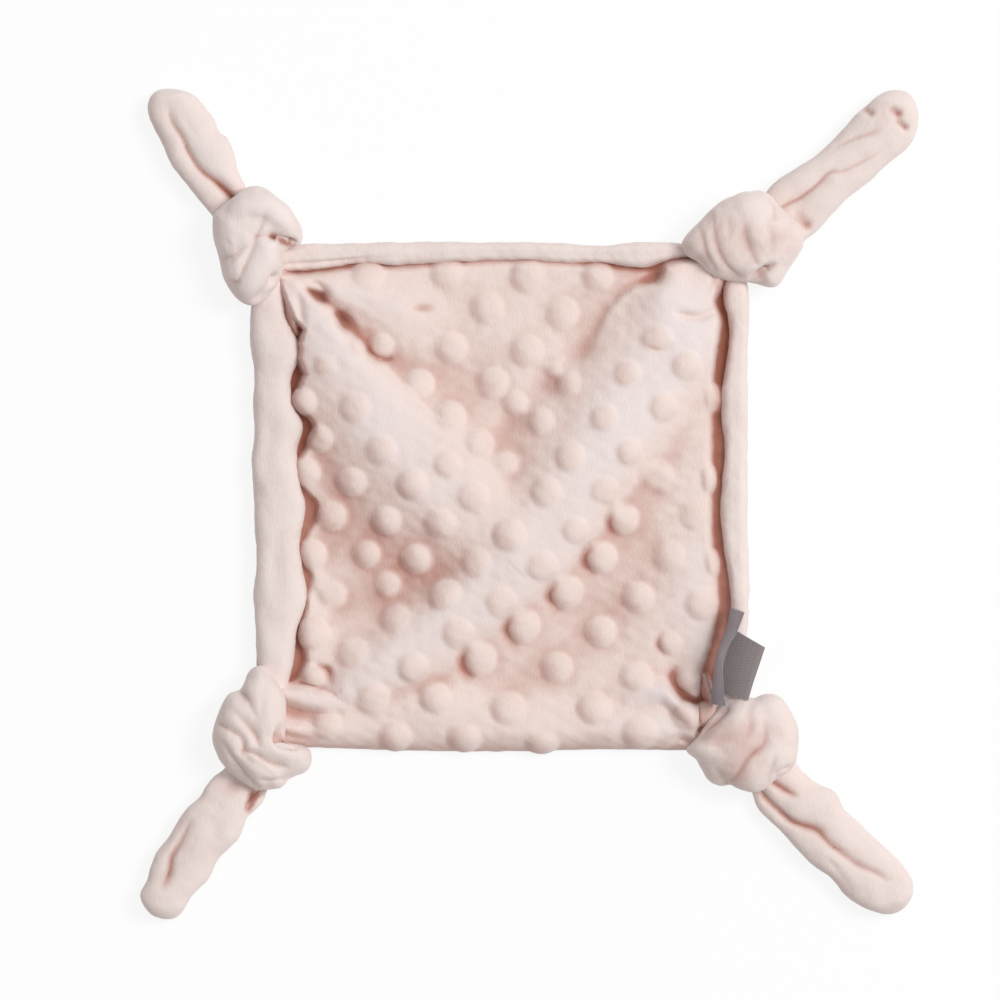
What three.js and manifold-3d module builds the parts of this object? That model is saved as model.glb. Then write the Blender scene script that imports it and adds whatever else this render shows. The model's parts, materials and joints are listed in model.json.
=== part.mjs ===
// Comfort blanket lovey: a small plush square of two cloth layers whose four corners are
// each tied in an overhand knot, with the end of the corner left as a soft ear.
// It lies flat, seen from +Z with its upper edge towards +Y. The origin is the middle of
// the square, on the surface that it rests on. Lengths are in millimetres.

import * as THREE from 'three';
import { mergeVertices } from 'three/addons/utils/BufferGeometryUtils.js';
import Module from 'manifold-3d';

const wasm = await Module();
wasm.setup();

// Square body
const bodyWidth = 191;
const bodyDepth = 196;
const backThickness = 4;
const frontThickness = 4;
const foldHeight = 11;
const foldWidth = 17;
const creaseDepth = 2.6;
const creaseWidth = 8;
const borderWidth = 15;

// Raised dots of the front plush
const dotPitch = 29;
const dotRowPitch = 13.8;
const dotDiameter = 12.6;
const dotHeight = 2;

// Rolled margins of the cloth along the four sides
const leftRollWidth = 17;
const leftRollHeight = 13;
const topRollWidth = 7.7;
const topRollHeight = 11;
const rightRollWidth = 10.4;
const rightRollHeight = 12;
const lowerRollWidth = 9;
const lowerRollHeight = 9.5;

// Knots, and the pinched neck of cloth that leads into each
const knotReach = 24;
const knotHeight = 28;
const wrapRadius = 8.5;
const coreShare = 0.82;
const knotToNeck = 22;
const labelKnotToNeck = 37;
const neckRadius = 6;
const neckSlopeDegrees = 30;
const wrapSpreadDegrees = 100;

// Ears
const earLength = 64.5;
const earWidth = 22.5;
const earThickness = 14;
const earRootRadius = 5.5;
const earHalfShares = [0.62, 0.74, 0.86, 0.95, 1, 1, 0.97, 0.91, 0.78, 0.55, 0.22];
const earPlaceShares = [0, 0.1, 0.22, 0.36, 0.5, 0.64, 0.76, 0.86, 0.93, 0.975, 1];
const earSwellShare = 0.4;
const earTipShare = 0.7;
const earTipHeightShare = 0.07;
const earRootShare = 0.98;
const grooveDepthShare = 0.6;
const grooveWidthShare = 0.25;
const grooveStartShares = [0.05, 0.3];
const grooveEndShares = [0.7, 0.95];
const collarWidthShare = 0.84;
const collarHeightShare = 1.5;

// Labels caught in the right seam, and sewing thread
const largeLabelLength = 37;
const largeLabelDepth = 18;
const smallLabelLength = 22;
const smallLabelDepth = 15;
const ribbonThickness = 0.5;
const labelToKnot = 34;
const threadRadius = 0.5;
const closingShare = 0.75;
const stitchPitch = 6;
const stitchRise = 1.2;

// Clearances
const gap = 0.3;
const flatDepth = 0.5;
const overrun = 60;

// Smoothness
const rollStations = 36;
const sectionSides = 12;
const sectionPower = 2.5;
const threadSides = 5;
const stitchSteps = 4;
const dotSides = 8;
const dotStartAngle = -0.86 * Math.PI;
const earSides = 14;
const rootDegrees = [75, 50, 25];
const coreSegments = [14, 9];
const wrapSegments = [7, 16];
const collarSegments = [12, 6];
const bendSegments = 8;
const labelSteps = 6;

const halfWidth = bodyWidth / 2;
const halfDepth = bodyDepth / 2;
const frontFloor = backThickness + gap;
const frontLow = frontFloor + frontThickness;
const seamChannel = 2 * threadRadius + 2 * gap;

// Each corner: its knot's inset from the corner of the square and its half extents, as
// shares of the knot's reach, the wrap's turn and tilt, and the ear's heading and length
const corners = [
  {
    name: 'upper_left', side: -1, end: 1, insetShares: [0.075, 0.117], extentShares: [0.71, 0.96],
    wrapTurn: 40, wrapTilt: 62, earHeading: 122, earShare: 0.72, bendShare: 0.05, grooveShare: 0.42,
  },
  {
    name: 'upper_right', side: 1, end: 1, insetShares: [0.092, -0.042], extentShares: [1, 0.83],
    wrapTurn: -35, wrapTilt: 66, earHeading: 39, earShare: 0.91, bendShare: -0.04, grooveShare: -0.3,
  },
  {
    name: 'lower_left', side: -1, end: -1, insetShares: [0.175, 0.388], extentShares: [0.79, 0.98],
    wrapTurn: 130, wrapTilt: 60, earHeading: 238, earShare: 0.89, bendShare: -0.05, grooveShare: 0.15,
  },
  {
    name: 'lower_right', side: 1, end: -1, insetShares: [0.158, 0.117], extentShares: [0.95, 0.78],
    wrapTurn: -130, wrapTilt: 62, earHeading: 317, earShare: 1, bendShare: 0.04, grooveShare: 0.3,
    carriesLabels: true,
  },
];
for (const corner of corners) {
  const x = corner.side * (halfWidth - corner.insetShares[0] * knotReach);
  const y = corner.end * (halfDepth - corner.insetShares[1] * knotReach);
  corner.knot = new THREE.Vector2(x, y);
  corner.outward = new THREE.Vector2(corner.side, corner.end).normalize();
  corner.toNeck = corner.carriesLabels ? labelKnotToNeck : knotToNeck;
  corner.neck = corner.knot.clone().addScaledVector(corner.outward, -corner.toNeck);
  const heading = THREE.MathUtils.degToRad(corner.earHeading);
  corner.earway = new THREE.Vector2(Math.cos(heading), Math.sin(heading));
  const extents = corner.extentShares.map((share) => share * knotReach);
  const reach = Math.hypot(extents[0] * corner.earway.x, extents[1] * corner.earway.y);
  corner.root = corner.knot.clone().addScaledVector(corner.earway, reach + earRootRadius - 2 * gap);
}
const [upperLeft, upperRight, lowerLeft, lowerRight] = corners;

// Rolled margins: from one knot to the next along a side, with the width of the roll at
// equal steps as shares of its full width
const rolls = {
  left: {
    from: lowerLeft.knot.y, to: upperLeft.knot.y, edge: -halfWidth, inward: 1, alongX: false,
    width: leftRollWidth, height: leftRollHeight,
    widthShares: [0.81, 0.81, 0.93, 1.11, 1.11, 1.11, 1.15, 0.97, 0.97, 0.79, 0.75, 0.68, 0.68],
  },
  top: {
    from: upperLeft.knot.x, to: upperRight.knot.x, edge: halfDepth, inward: -1, alongX: true,
    width: topRollWidth, height: topRollHeight,
    widthShares: [1.6, 1.45, 1.2, 1, 1, 0.9, 0.85, 0.8, 0.95, 1.1, 0.95, 0.7, 0.7],
  },
  right: {
    from: lowerRight.knot.y, to: upperRight.knot.y, edge: halfWidth, inward: -1, alongX: false,
    width: rightRollWidth, height: rightRollHeight,
    widthShares: [1.37, 1.37, 1.22, 0.66, 0.78, 1.04, 1.04, 1, 0.96, 0.92, 0.66, 0.96, 0.96],
  },
  lower: {
    from: lowerLeft.knot.x, to: lowerRight.knot.x, edge: -halfDepth, inward: 1, alongX: true,
    width: lowerRollWidth, height: lowerRollHeight,
    widthShares: [1, 1, 0.96, 1.04, 1, 0.94, 1, 1.05, 0.97, 1, 1.03, 1, 1],
  },
};

// Main folds of the front: ridges and creases as points in shares of the half sizes,
// each with its height as a share of the fold height
const ridgeShares = [
  [[-0.81, 0.78, 0.5], [-0.67, 0.62, 0.9], [-0.45, 0.38, 0.95], [-0.28, 0.23, 0.9], [0, -0.09, 0.5]],
  [
    [0.8, 0.86, 0.5], [0.57, 0.68, 0.75], [0.37, 0.23, 0.95], [0.21, -0.03, 1], [-0.03, -0.29, 0.95],
    [-0.3, -0.46, 0.85], [-0.63, -0.68, 0.7],
  ],
  [[0.81, 0.6, 0.35], [0.8, 0.1, 0.45], [0.8, -0.5, 0.4]],
  [[-0.78, 0.35, 0.25], [-0.76, -0.1, 0.35], [-0.7, -0.55, 0.4]],
  [[0.45, -0.75, 0.35], [0.1, -0.8, 0.35], [-0.3, -0.86, 0.3]],
];
const creaseShares = [
  [
    [0.75, 0.15, 0.5], [0.61, 0.12, 1], [0.43, -0.07, 1], [0.31, -0.21, 1], [0.17, -0.36, 0.9],
    [-0.01, -0.5, 0.8], [-0.17, -0.63, 0.6], [-0.34, -0.77, 0.3],
  ],
  [[0.3, 0.42, 0.5], [0.16, 0.3, 0.8], [0.04, 0.14, 0.8]],
];

// A closed body from rings of equal point counts, with a fan on each end
function bodyFromRings(rings) {
  const count = rings[0].length;
  const places = [];
  for (const ring of rings) {
    for (const point of ring) {
      places.push(point.x, point.y, point.z);
    }
  }
  const index = [];
  for (let r = 0; r + 1 < rings.length; r += 1) {
    for (let k = 0; k < count; k += 1) {
      const a = r * count + k;
      const b = r * count + ((k + 1) % count);
      index.push(a, b, b + count, a, b + count, a + count);
    }
  }
  const ends = [[rings[0], 0, true], [rings[rings.length - 1], (rings.length - 1) * count, false]];
  for (const [ring, first, reversed] of ends) {
    const middle = ring.reduce((sum, point) => sum.add(point), new THREE.Vector3());
    middle.divideScalar(count);
    const centre = places.length / 3;
    places.push(middle.x, middle.y, middle.z);
    for (let k = 0; k < count; k += 1) {
      const a = first + k;
      const b = first + ((k + 1) % count);
      index.push(...(reversed ? [centre, b, a] : [centre, a, b]));
    }
  }
  const geometry = new THREE.BufferGeometry();
  geometry.setAttribute('position', new THREE.Float32BufferAttribute(places, 3));
  geometry.setIndex(index);
  return geometry;
}

// Turns a closed geometry into a solid for joining and cutting, facing out
function solidOf(geometry) {
  const bare = geometry.clone();
  bare.deleteAttribute('normal');
  bare.deleteAttribute('uv');
  const merged = mergeVertices(bare);
  const index = Uint32Array.from(merged.index.array);
  const places = Float32Array.from(merged.attributes.position.array);
  let volume = 0;
  const corner = [new THREE.Vector3(), new THREE.Vector3(), new THREE.Vector3()];
  for (let k = 0; k < index.length; k += 3) {
    corner.forEach((point, i) => point.fromArray(places, 3 * index[k + i]));
    volume += corner[0].dot(corner[1].cross(corner[2]));
  }
  if (volume < 0) {
    for (let k = 0; k < index.length; k += 3) {
      [index[k], index[k + 1]] = [index[k + 1], index[k]];
    }
  }
  return new wasm.Manifold(new wasm.Mesh({ numProp: 3, vertProperties: places, triVerts: index }));
}

function geometryOf(solid) {
  const mesh = solid.getMesh();
  const geometry = new THREE.BufferGeometry();
  geometry.setAttribute('position', new THREE.Float32BufferAttribute(mesh.vertProperties, 3));
  geometry.setIndex(Array.from(mesh.triVerts));
  return geometry;
}

function boxSolid(x0, x1, y0, y1, z0, z1) {
  const geometry = new THREE.BoxGeometry(x1 - x0, y1 - y0, z1 - z0);
  geometry.translate((x0 + x1) / 2, (y0 + y1) / 2, (z0 + z1) / 2);
  return solidOf(geometry);
}

// Value at share t along a list of equally spaced values
function alongList(values, t) {
  const place = THREE.MathUtils.clamp(t, 0, 1) * (values.length - 1);
  const first = Math.min(Math.floor(place), values.length - 2);
  const blend = THREE.MathUtils.smoothstep(place - first, 0, 1);
  return THREE.MathUtils.lerp(values[first], values[first + 1], blend);
}

// Rounded section of a roll, sunk by the depth of its flat
function roundedSection(halfAcross, halfUp) {
  const points = [];
  for (let k = 0; k < sectionSides; k += 1) {
    const angle = (2 * Math.PI * (k + 0.5)) / sectionSides;
    const c = Math.cos(angle);
    const s = Math.sin(angle);
    const across = halfAcross * Math.sign(c) * Math.abs(c) ** (2 / sectionPower);
    const up = halfUp - flatDepth + halfUp * Math.sign(s) * Math.abs(s) ** (2 / sectionPower);
    points.push([across, Math.max(up, 0)]);
  }
  return points;
}

// Places a point given along a side, across it from the outer edge inward, and up
function sidePoint(roll, along, across, up) {
  const offset = roll.edge + roll.inward * across;
  return roll.alongX ? new THREE.Vector3(along, offset, up) : new THREE.Vector3(offset, along, up);
}

// Width of a roll, straight between its stations
function rollWidthAt(roll, along) {
  const place = ((along - roll.from) / (roll.to - roll.from)) * rollStations;
  const first = Math.floor(place);
  const before = alongList(roll.widthShares, first / rollStations);
  const after = alongList(roll.widthShares, (first + 1) / rollStations);
  return roll.width * THREE.MathUtils.lerp(before, after, place - first);
}

// One rolled margin, cut flat underneath
function rollSolid(roll) {
  const rings = [];
  const halfUp = roll.height / 2;
  for (let k = 0; k <= rollStations; k += 1) {
    const along = THREE.MathUtils.lerp(roll.from, roll.to, k / rollStations);
    const width = rollWidthAt(roll, along);
    const section = roundedSection(width / 2, halfUp);
    rings.push(section.map(([across, up]) => sidePoint(roll, along, width / 2 + across, up)));
  }
  return solidOf(bodyFromRings(rings));
}

// Room that a layer leaves for a roll, and for what runs along its inner side
function seamRoom(roll, beside) {
  const rings = [];
  for (let k = 0; k <= rollStations; k += 1) {
    const along = THREE.MathUtils.lerp(roll.from, roll.to, k / rollStations);
    const inner = rollWidthAt(roll, along) + beside;
    const outline = [[0, -overrun], [inner, -overrun], [inner, overrun], [0, overrun]];
    rings.push(outline.map(([across, up]) => sidePoint(roll, along, across, up)));
  }
  return solidOf(bodyFromRings(rings));
}

// Distance from a point to a run of straight lines, with the height share at the nearest place
function nearestOnRun(x, y, run) {
  let best = { distance: Infinity, share: 0 };
  for (let k = 0; k + 1 < run.length; k += 1) {
    const ax = run[k][0] * halfWidth;
    const ay = run[k][1] * halfDepth;
    const bx = run[k + 1][0] * halfWidth;
    const by = run[k + 1][1] * halfDepth;
    const lengthSquared = (bx - ax) ** 2 + (by - ay) ** 2;
    const t = THREE.MathUtils.clamp(((x - ax) * (bx - ax) + (y - ay) * (by - ay)) / lengthSquared, 0, 1);
    const distance = Math.hypot(x - ax - t * (bx - ax), y - ay - t * (by - ay));
    if (distance < best.distance) {
      best = { distance, share: THREE.MathUtils.lerp(run[k][2], run[k + 1][2], t) };
    }
  }
  return best;
}

// Top of the front plush without its dots: low at the seams, raised in its folds
function frontTop(x, y) {
  let rise = 0;
  for (const run of ridgeShares) {
    const { distance, share } = nearestOnRun(x, y, run);
    rise = Math.max(rise, share * foldHeight * Math.exp(-((distance / foldWidth) ** 2)));
  }
  for (const run of creaseShares) {
    const { distance, share } = nearestOnRun(x, y, run);
    rise -= share * creaseDepth * Math.exp(-((distance / creaseWidth) ** 2));
  }
  const clear = Math.min(halfWidth - Math.abs(x), halfDepth - y);
  const border = THREE.MathUtils.smoothstep(clear, borderWidth / 2, 2 * borderWidth);
  return frontLow + Math.max(rise, 0) * border;
}

// Front plush as a body from the floor up: staggered cells, each with one raised dot
function frontBlank() {
  const halfPitch = dotPitch / 2;
  const columns = Math.ceil(halfWidth / dotPitch);
  const rows = Math.ceil(halfDepth / dotRowPitch);
  const places = [];
  const index = [];
  const known = new Map();
  const lattice = (i, j, top) => {
    const key = `${i} ${j} ${top}`;
    if (!known.has(key)) {
      known.set(key, places.length / 3);
      const x = i * halfPitch;
      const y = j * dotRowPitch;
      places.push(x, y, top ? frontTop(x, y) : 0);
    }
    return known.get(key);
  };
  const stitchLoops = (outer, inner) => {
    let a = 0;
    let b = 0;
    while (a < outer.length || b < inner.length) {
      const nextOuter = (a + 1) / outer.length;
      const nextInner = (b + 1) / inner.length;
      const outerHere = outer[a % outer.length];
      const innerHere = inner[b % inner.length];
      if (nextOuter <= nextInner) {
        index.push(outerHere, outer[(a + 1) % outer.length], innerHere);
        a += 1;
      } else {
        index.push(outerHere, inner[(b + 1) % inner.length], innerHere);
        b += 1;
      }
    }
  };
  for (let j = -rows; j < rows; j += 1) {
    const shift = Math.abs(j % 2);
    for (let c = -columns; c < columns; c += 1) {
      const i = 2 * c + shift;
      const loop = [[i, j], [i + 1, j], [i + 2, j], [i + 2, j + 1], [i + 1, j + 1], [i, j + 1]];
      const outer = loop.map(([u, v]) => lattice(u, v, true));
      const floor = loop.map(([u, v]) => lattice(u, v, false));
      const cx = (i + 1) * halfPitch;
      const cy = (j + 0.5) * dotRowPitch;
      const inner = [];
      for (let k = 0; k < dotSides; k += 1) {
        const angle = (2 * Math.PI * k) / dotSides + dotStartAngle;
        const x = cx + (dotDiameter / 2) * Math.cos(angle);
        const y = cy + (dotDiameter / 2) * Math.sin(angle);
        inner.push(places.length / 3);
        places.push(x, y, frontTop(x, y));
      }
      stitchLoops(outer, inner);
      const centre = places.length / 3;
      places.push(cx, cy, frontTop(cx, cy) + dotHeight);
      inner.forEach((a, k) => index.push(a, inner[(k + 1) % dotSides], centre));
      for (let k = 1; k + 1 < floor.length; k += 1) {
        index.push(floor[0], floor[k + 1], floor[k]);
      }
    }
  }
  // Walls close every edge of the top that has no neighbour
  const seen = new Set();
  for (let k = 0; k < index.length; k += 3) {
    for (let e = 0; e < 3; e += 1) {
      seen.add(`${index[k + e]} ${index[k + ((e + 1) % 3)]}`);
    }
  }
  const upper = new Map();
  for (const [key, place] of known) {
    const [i, j, top] = key.split(' ');
    if (top === 'true') {
      upper.set(place, known.get(`${i} ${j} false`));
    }
  }
  const openEdges = [...seen].map((key) => key.split(' ').map(Number));
  for (const [a, b] of openEdges) {
    if (!seen.has(`${b} ${a}`) && upper.has(a) && upper.has(b)) {
      index.push(b, a, upper.get(a), b, upper.get(a), upper.get(b));
    }
  }
  const geometry = new THREE.BufferGeometry();
  geometry.setAttribute('position', new THREE.Float32BufferAttribute(places, 3));
  geometry.setIndex(index);
  return solidOf(geometry);
}

// Block turned so that its +X runs along a heading, from a place in plan
function turnedBlock(place, heading, x0, x1, across, z0, z1) {
  const geometry = new THREE.BoxGeometry(x1 - x0, across, z1 - z0);
  geometry.translate((x0 + x1) / 2, 0, (z0 + z1) / 2);
  geometry.rotateZ(heading);
  geometry.translate(place.x, place.y, 0);
  return solidOf(geometry);
}

// Space of a corner beyond its bend: round about the hinge line, then rising from it
function neckSpace(corner) {
  const slope = Math.tan(THREE.MathUtils.degToRad(neckSlopeDegrees));
  const free = neckRadius / slope;
  const shape = new THREE.Shape();
  shape.moveTo(0, -neckRadius);
  shape.lineTo(corner.toNeck, -neckRadius);
  shape.lineTo(corner.toNeck, Math.max(corner.toNeck * slope, 2 * neckRadius));
  shape.lineTo(Math.max(free, neckRadius), neckRadius);
  shape.lineTo(0, neckRadius);
  shape.absarc(0, 0, neckRadius, Math.PI / 2, (3 * Math.PI) / 2, false);
  const settings = { depth: 2 * overrun, bevelEnabled: false, curveSegments: bendSegments };
  const geometry = new THREE.ExtrudeGeometry(shape, settings);
  geometry.translate(0, 0, -overrun);
  geometry.rotateX(Math.PI / 2);
  geometry.rotateZ(Math.atan2(corner.outward.y, corner.outward.x));
  geometry.translate(corner.neck.x, corner.neck.y, neckRadius);
  return solidOf(geometry);
}

const tallest = 2 * knotHeight;
const leftRoll = rollSolid(rolls.left);
const topRoll = rollSolid(rolls.top);
const rightRoll = rollSolid(rolls.right);
const lowerRoll = rollSolid(rolls.lower);
const layerBlock = (top) => boxSolid(
  -halfWidth + leftRollWidth / 2,
  halfWidth - rightRollWidth / 2,
  -halfDepth + lowerRollWidth / 2,
  halfDepth - topRollWidth / 2,
  0,
  top,
);
const frontWhole = frontBlank().intersect(layerBlock(tallest));
const backWhole = layerBlock(backThickness);
const cloth = leftRoll.add(topRoll).add(rightRoll).add(lowerRoll).add(frontWhole);

// What each corner takes from the square: all beyond the line where its neck bends
function beyondNeck(corner, clearance) {
  const heading = Math.atan2(corner.outward.y, corner.outward.x);
  return turnedBlock(corner.neck, heading, -clearance, overrun, 2 * overrun, -overrun, overrun);
}

function clearOfCorners(solid) {
  return corners.reduce((rest, corner) => rest.subtract(beyondNeck(corner, neckRadius + gap)), solid);
}

// Ear: root at the knot, swelling and tapering to a round tip, with a groove along it
function earSolid(corner) {
  const length = corner.earShare * earLength;
  const acrossWay = new THREE.Vector2(-corner.earway.y, corner.earway.x);
  const rings = [];
  const addRing = (along, halfAcross, halfUp, centreUp, drift, depthShare) => {
    const ring = [];
    for (let k = 0; k < earSides; k += 1) {
      const angle = (2 * Math.PI * k) / earSides;
      const c = Math.cos(angle);
      const s = Math.sin(angle);
      const share = Math.sign(c) * Math.abs(c) ** (2 / sectionPower);
      const dip = Math.exp(-(((share - corner.grooveShare) / grooveWidthShare) ** 2)) * depthShare;
      const rise = Math.sign(s) * Math.abs(s) ** (2 / sectionPower) * (s > 0 ? 1 - dip : 1);
      const across = halfAcross * share + drift;
      const up = Math.max(centreUp + halfUp * rise, 0);
      const x = corner.root.x + along * corner.earway.x + across * acrossWay.x;
      const y = corner.root.y + along * corner.earway.y + across * acrossWay.y;
      ring.push(new THREE.Vector3(x, y, up));
    }
    rings.push(ring);
  };
  const rootAcross = (earHalfShares[0] * earWidth) / 2;
  for (const degrees of rootDegrees) {
    const turn = THREE.MathUtils.degToRad(degrees);
    const halfUp = earRootRadius * Math.cos(turn);
    addRing(-earRootRadius * Math.sin(turn), rootAcross * earRootShare, halfUp, earRootRadius, 0, 0);
  }
  earPlaceShares.forEach((place, k) => {
    const grown = THREE.MathUtils.smoothstep(place, 0, earSwellShare);
    const full = THREE.MathUtils.lerp(earRootRadius, earThickness / 2, grown);
    const tip = Math.min(1, earHalfShares[k] + earTipHeightShare);
    const halfUp = place > earTipShare ? full * tip : full;
    const centreUp = halfUp - flatDepth * grown;
    const drift = corner.bendShare * length * Math.sin(Math.PI * place);
    const opened = THREE.MathUtils.smoothstep(place, ...grooveStartShares);
    const closed = THREE.MathUtils.smoothstep(place, ...grooveEndShares);
    const dip = grooveDepthShare * opened * (1 - closed);
    addRing(place * length, (earHalfShares[k] * earWidth) / 2, halfUp, centreUp, drift, dip);
  });
  return solidOf(bodyFromRings(rings));
}

// Knot: a flattened ball with two wraps of the cloth round it, the neck that joins it to
// the square, and a collar towards the ear. It is cut flat underneath.
function knotSolid(corner) {
  const [rx, ry] = corner.extentShares.map((share) => share * knotReach);
  const rz = knotHeight / 2;
  const lift = rz - flatDepth;
  const core = new THREE.SphereGeometry(1, ...coreSegments);
  core.rotateX(Math.PI / 2);
  core.scale(rx * coreShare, ry * coreShare, rz * coreShare);
  core.translate(corner.knot.x, corner.knot.y, lift);
  let solid = solidOf(core);
  for (const turn of [corner.wrapTurn, corner.wrapTurn + wrapSpreadDegrees]) {
    const wrapShare = wrapRadius / knotReach;
    const wrap = new THREE.TorusGeometry(1 - wrapShare, wrapShare, ...wrapSegments);
    wrap.rotateX(THREE.MathUtils.degToRad(corner.wrapTilt));
    wrap.rotateZ(THREE.MathUtils.degToRad(turn));
    wrap.scale(rx, ry, rz);
    wrap.translate(corner.knot.x, corner.knot.y, lift);
    solid = solid.add(solidOf(wrap));
  }
  const collarReach = corner.root.distanceTo(corner.knot);
  const collar = new THREE.SphereGeometry(1, ...collarSegments);
  collar.scale(collarReach, (collarWidthShare * earWidth) / 2, collarHeightShare * earRootRadius);
  collar.rotateZ(Math.atan2(corner.earway.y, corner.earway.x));
  collar.translate(corner.knot.x, corner.knot.y, earRootRadius);
  solid = solid.add(solidOf(collar));
  const heading = Math.atan2(corner.outward.y, corner.outward.x);
  const wide = 2 * overrun;
  solid = solid.add(cloth.intersect(neckSpace(corner)));
  const earHeading = Math.atan2(corner.earway.y, corner.earway.x);
  const earStart = -earRootRadius - gap;
  const earSide = turnedBlock(corner.root, earHeading, earStart, overrun, wide, -overrun, overrun);
  const above = boxSolid(-bodyWidth, bodyWidth, -bodyDepth, bodyDepth, 0, tallest);
  const behindNeck = turnedBlock(corner.neck, heading, -overrun, -neckRadius, wide, -overrun, overrun);
  return solid.intersect(above).subtract(earSide).subtract(behindNeck);
}

// Thread along a roll's inner side, from one place to another, as a wave up and down
function threadSolid(roll, from, to, rise) {
  const step = rise > 0 ? stitchPitch / stitchSteps : (roll.to - roll.from) / rollStations;
  const rings = [];
  for (let k = 0; from + (k - 1) * step < to; k += 1) {
    const along = Math.min(from + k * step, to);
    const across = rollWidthAt(roll, along) + gap + threadRadius;
    const wave = rise * (1 + Math.sin((2 * Math.PI * (along - from)) / stitchPitch));
    const up = frontFloor + threadRadius + wave;
    const ring = [];
    for (let s = 0; s < threadSides; s += 1) {
      const angle = (2 * Math.PI * s) / threadSides;
      const side = across + threadRadius * Math.cos(angle);
      ring.push(sidePoint(roll, along, side, up + threadRadius * Math.sin(angle)));
    }
    rings.push(ring);
  }
  return clearOfCorners(solidOf(bodyFromRings(rings)));
}

// Label: a ribbon that stands on its cut ends, bent along its depth between the lean at
// its foot and the lean at its fold, with its length turned to follow the seam
function labelSolid(label) {
  const front = [];
  const back = [];
  let across = 0;
  let up = 0;
  for (let k = 0; k <= labelSteps; k += 1) {
    const degrees = THREE.MathUtils.lerp(label.footLean, label.foldLean, k / labelSteps);
    const lean = THREE.MathUtils.degToRad(degrees);
    const sideX = (Math.cos(lean) * label.thickness) / 2;
    const sideUp = (-Math.sin(lean) * label.thickness) / 2;
    front.push(new THREE.Vector2(across + sideX, up + sideUp));
    back.unshift(new THREE.Vector2(across - sideX, up - sideUp));
    across += (label.depth / labelSteps) * Math.sin(lean);
    up += (label.depth / labelSteps) * Math.cos(lean);
  }
  const shape = new THREE.Shape([...front, ...back]);
  const geometry = new THREE.ExtrudeGeometry(shape, { depth: label.length, bevelEnabled: false, steps: 1 });
  geometry.rotateX(Math.PI / 2);
  geometry.translate(0, label.length / 2, 0);
  geometry.rotateZ(-THREE.MathUtils.degToRad(label.turn));
  geometry.translate(label.foot.x, label.foot.y, label.foot.z);
  return solidOf(geometry);
}

// Materials
const dimplePlush = { color: 0xe8d0c6, roughness: 0.95, metalness: 0 };
const velour = { color: 0xe8d8d0, roughness: 0.95, metalness: 0 };
const satinRibbon = { color: 0x8f8c93, roughness: 0.45, metalness: 0 };
const wovenTape = { color: 0x736c6a, roughness: 0.7, metalness: 0 };
const sewingThread = { color: 0xe3c9bd, roughness: 0.8, metalness: 0 };

const lovey = new THREE.Group();

function addPiece(name, solid, finish) {
  const mesh = new THREE.Mesh(geometryOf(solid), new THREE.MeshStandardMaterial(finish));
  mesh.name = name;
  lovey.add(mesh);
}

const sides = [rolls.left, rolls.top, rolls.right, rolls.lower];
const backRoom = sides.map((roll) => seamRoom(roll, gap)).reduce((sum, solid) => sum.add(solid));
const frontRoom = sides.map((roll) => seamRoom(roll, seamChannel)).reduce((sum, solid) => sum.add(solid));
const underFront = boxSolid(-bodyWidth, bodyWidth, -bodyDepth, bodyDepth, -overrun, frontFloor);

addPiece('back_panel', clearOfCorners(backWhole.subtract(backRoom)), velour);
addPiece('front_panel', clearOfCorners(frontWhole.subtract(frontRoom).subtract(underFront)), dimplePlush);
addPiece('left_rolled_edge', clearOfCorners(leftRoll), velour);
addPiece('top_rolled_edge', clearOfCorners(topRoll), velour);
addPiece('right_rolled_edge', clearOfCorners(rightRoll), velour);
addPiece('lower_rolled_edge', clearOfCorners(lowerRoll), dimplePlush);

addPiece('left_seam_thread', threadSolid(rolls.left, rolls.left.from, rolls.left.to, 0), sewingThread);
addPiece('top_seam_thread', threadSolid(rolls.top, rolls.top.from, rolls.top.to, 0), sewingThread);
addPiece('right_seam_thread', threadSolid(rolls.right, rolls.right.from, rolls.right.to, 0), sewingThread);

// The free lower seam runs between the two bends. The part of it nearer the labels was left
// open to turn the cloth, and is sewn shut by hand.
const seamLine = -halfDepth + lowerRollWidth;
const besideBend = 2 * (neckRadius + gap);
const freeFrom = lowerLeft.neck.x - (seamLine - lowerLeft.neck.y) + besideBend;
const closingTo = lowerRight.neck.x + (seamLine - lowerRight.neck.y) - besideBend;
const closingFrom = closingTo - closingShare * (closingTo - freeFrom);
const lowerThread = threadSolid(rolls.lower, rolls.lower.from, closingFrom - threadRadius - gap, 0);
addPiece('lower_seam_thread', lowerThread, sewingThread);
addPiece('closing_stitch', threadSolid(rolls.lower, closingFrom, closingTo, stitchRise), sewingThread);

// The large label is a folded ribbon of two leaves on the inner shoulder of the right
// roll. The small one starts against its foot and lies out over the roll.
const labelAlong = lowerRight.knot.y + labelToKnot;
const labelInset = 4 * ribbonThickness;
const labelSpacing = 5 * ribbonThickness;
const labelFloor = rightRollHeight - flatDepth + gap;
const shoulder = halfWidth - rollWidthAt(rolls.right, labelAlong) + labelInset;
const largeLabel = {
  length: largeLabelLength, depth: largeLabelDepth, thickness: 2 * ribbonThickness,
  foot: new THREE.Vector3(shoulder, labelAlong, labelFloor), turn: 12, footLean: 4, foldLean: 30,
};
const smallLabel = {
  length: smallLabelLength, depth: smallLabelDepth, thickness: ribbonThickness,
  foot: new THREE.Vector3(shoulder + labelSpacing, labelAlong - ribbonThickness, labelFloor),
  turn: 18, footLean: 60, foldLean: 52,
};
addPiece('large_label', labelSolid(largeLabel), satinRibbon);
addPiece('small_label', labelSolid(smallLabel), wovenTape);

for (const corner of corners) {
  addPiece(`${corner.name}_knot`, knotSolid(corner), velour);
  addPiece(`${corner.name}_ear`, earSolid(corner), velour);
}

export default lovey;
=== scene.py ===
import json
import math

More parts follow.
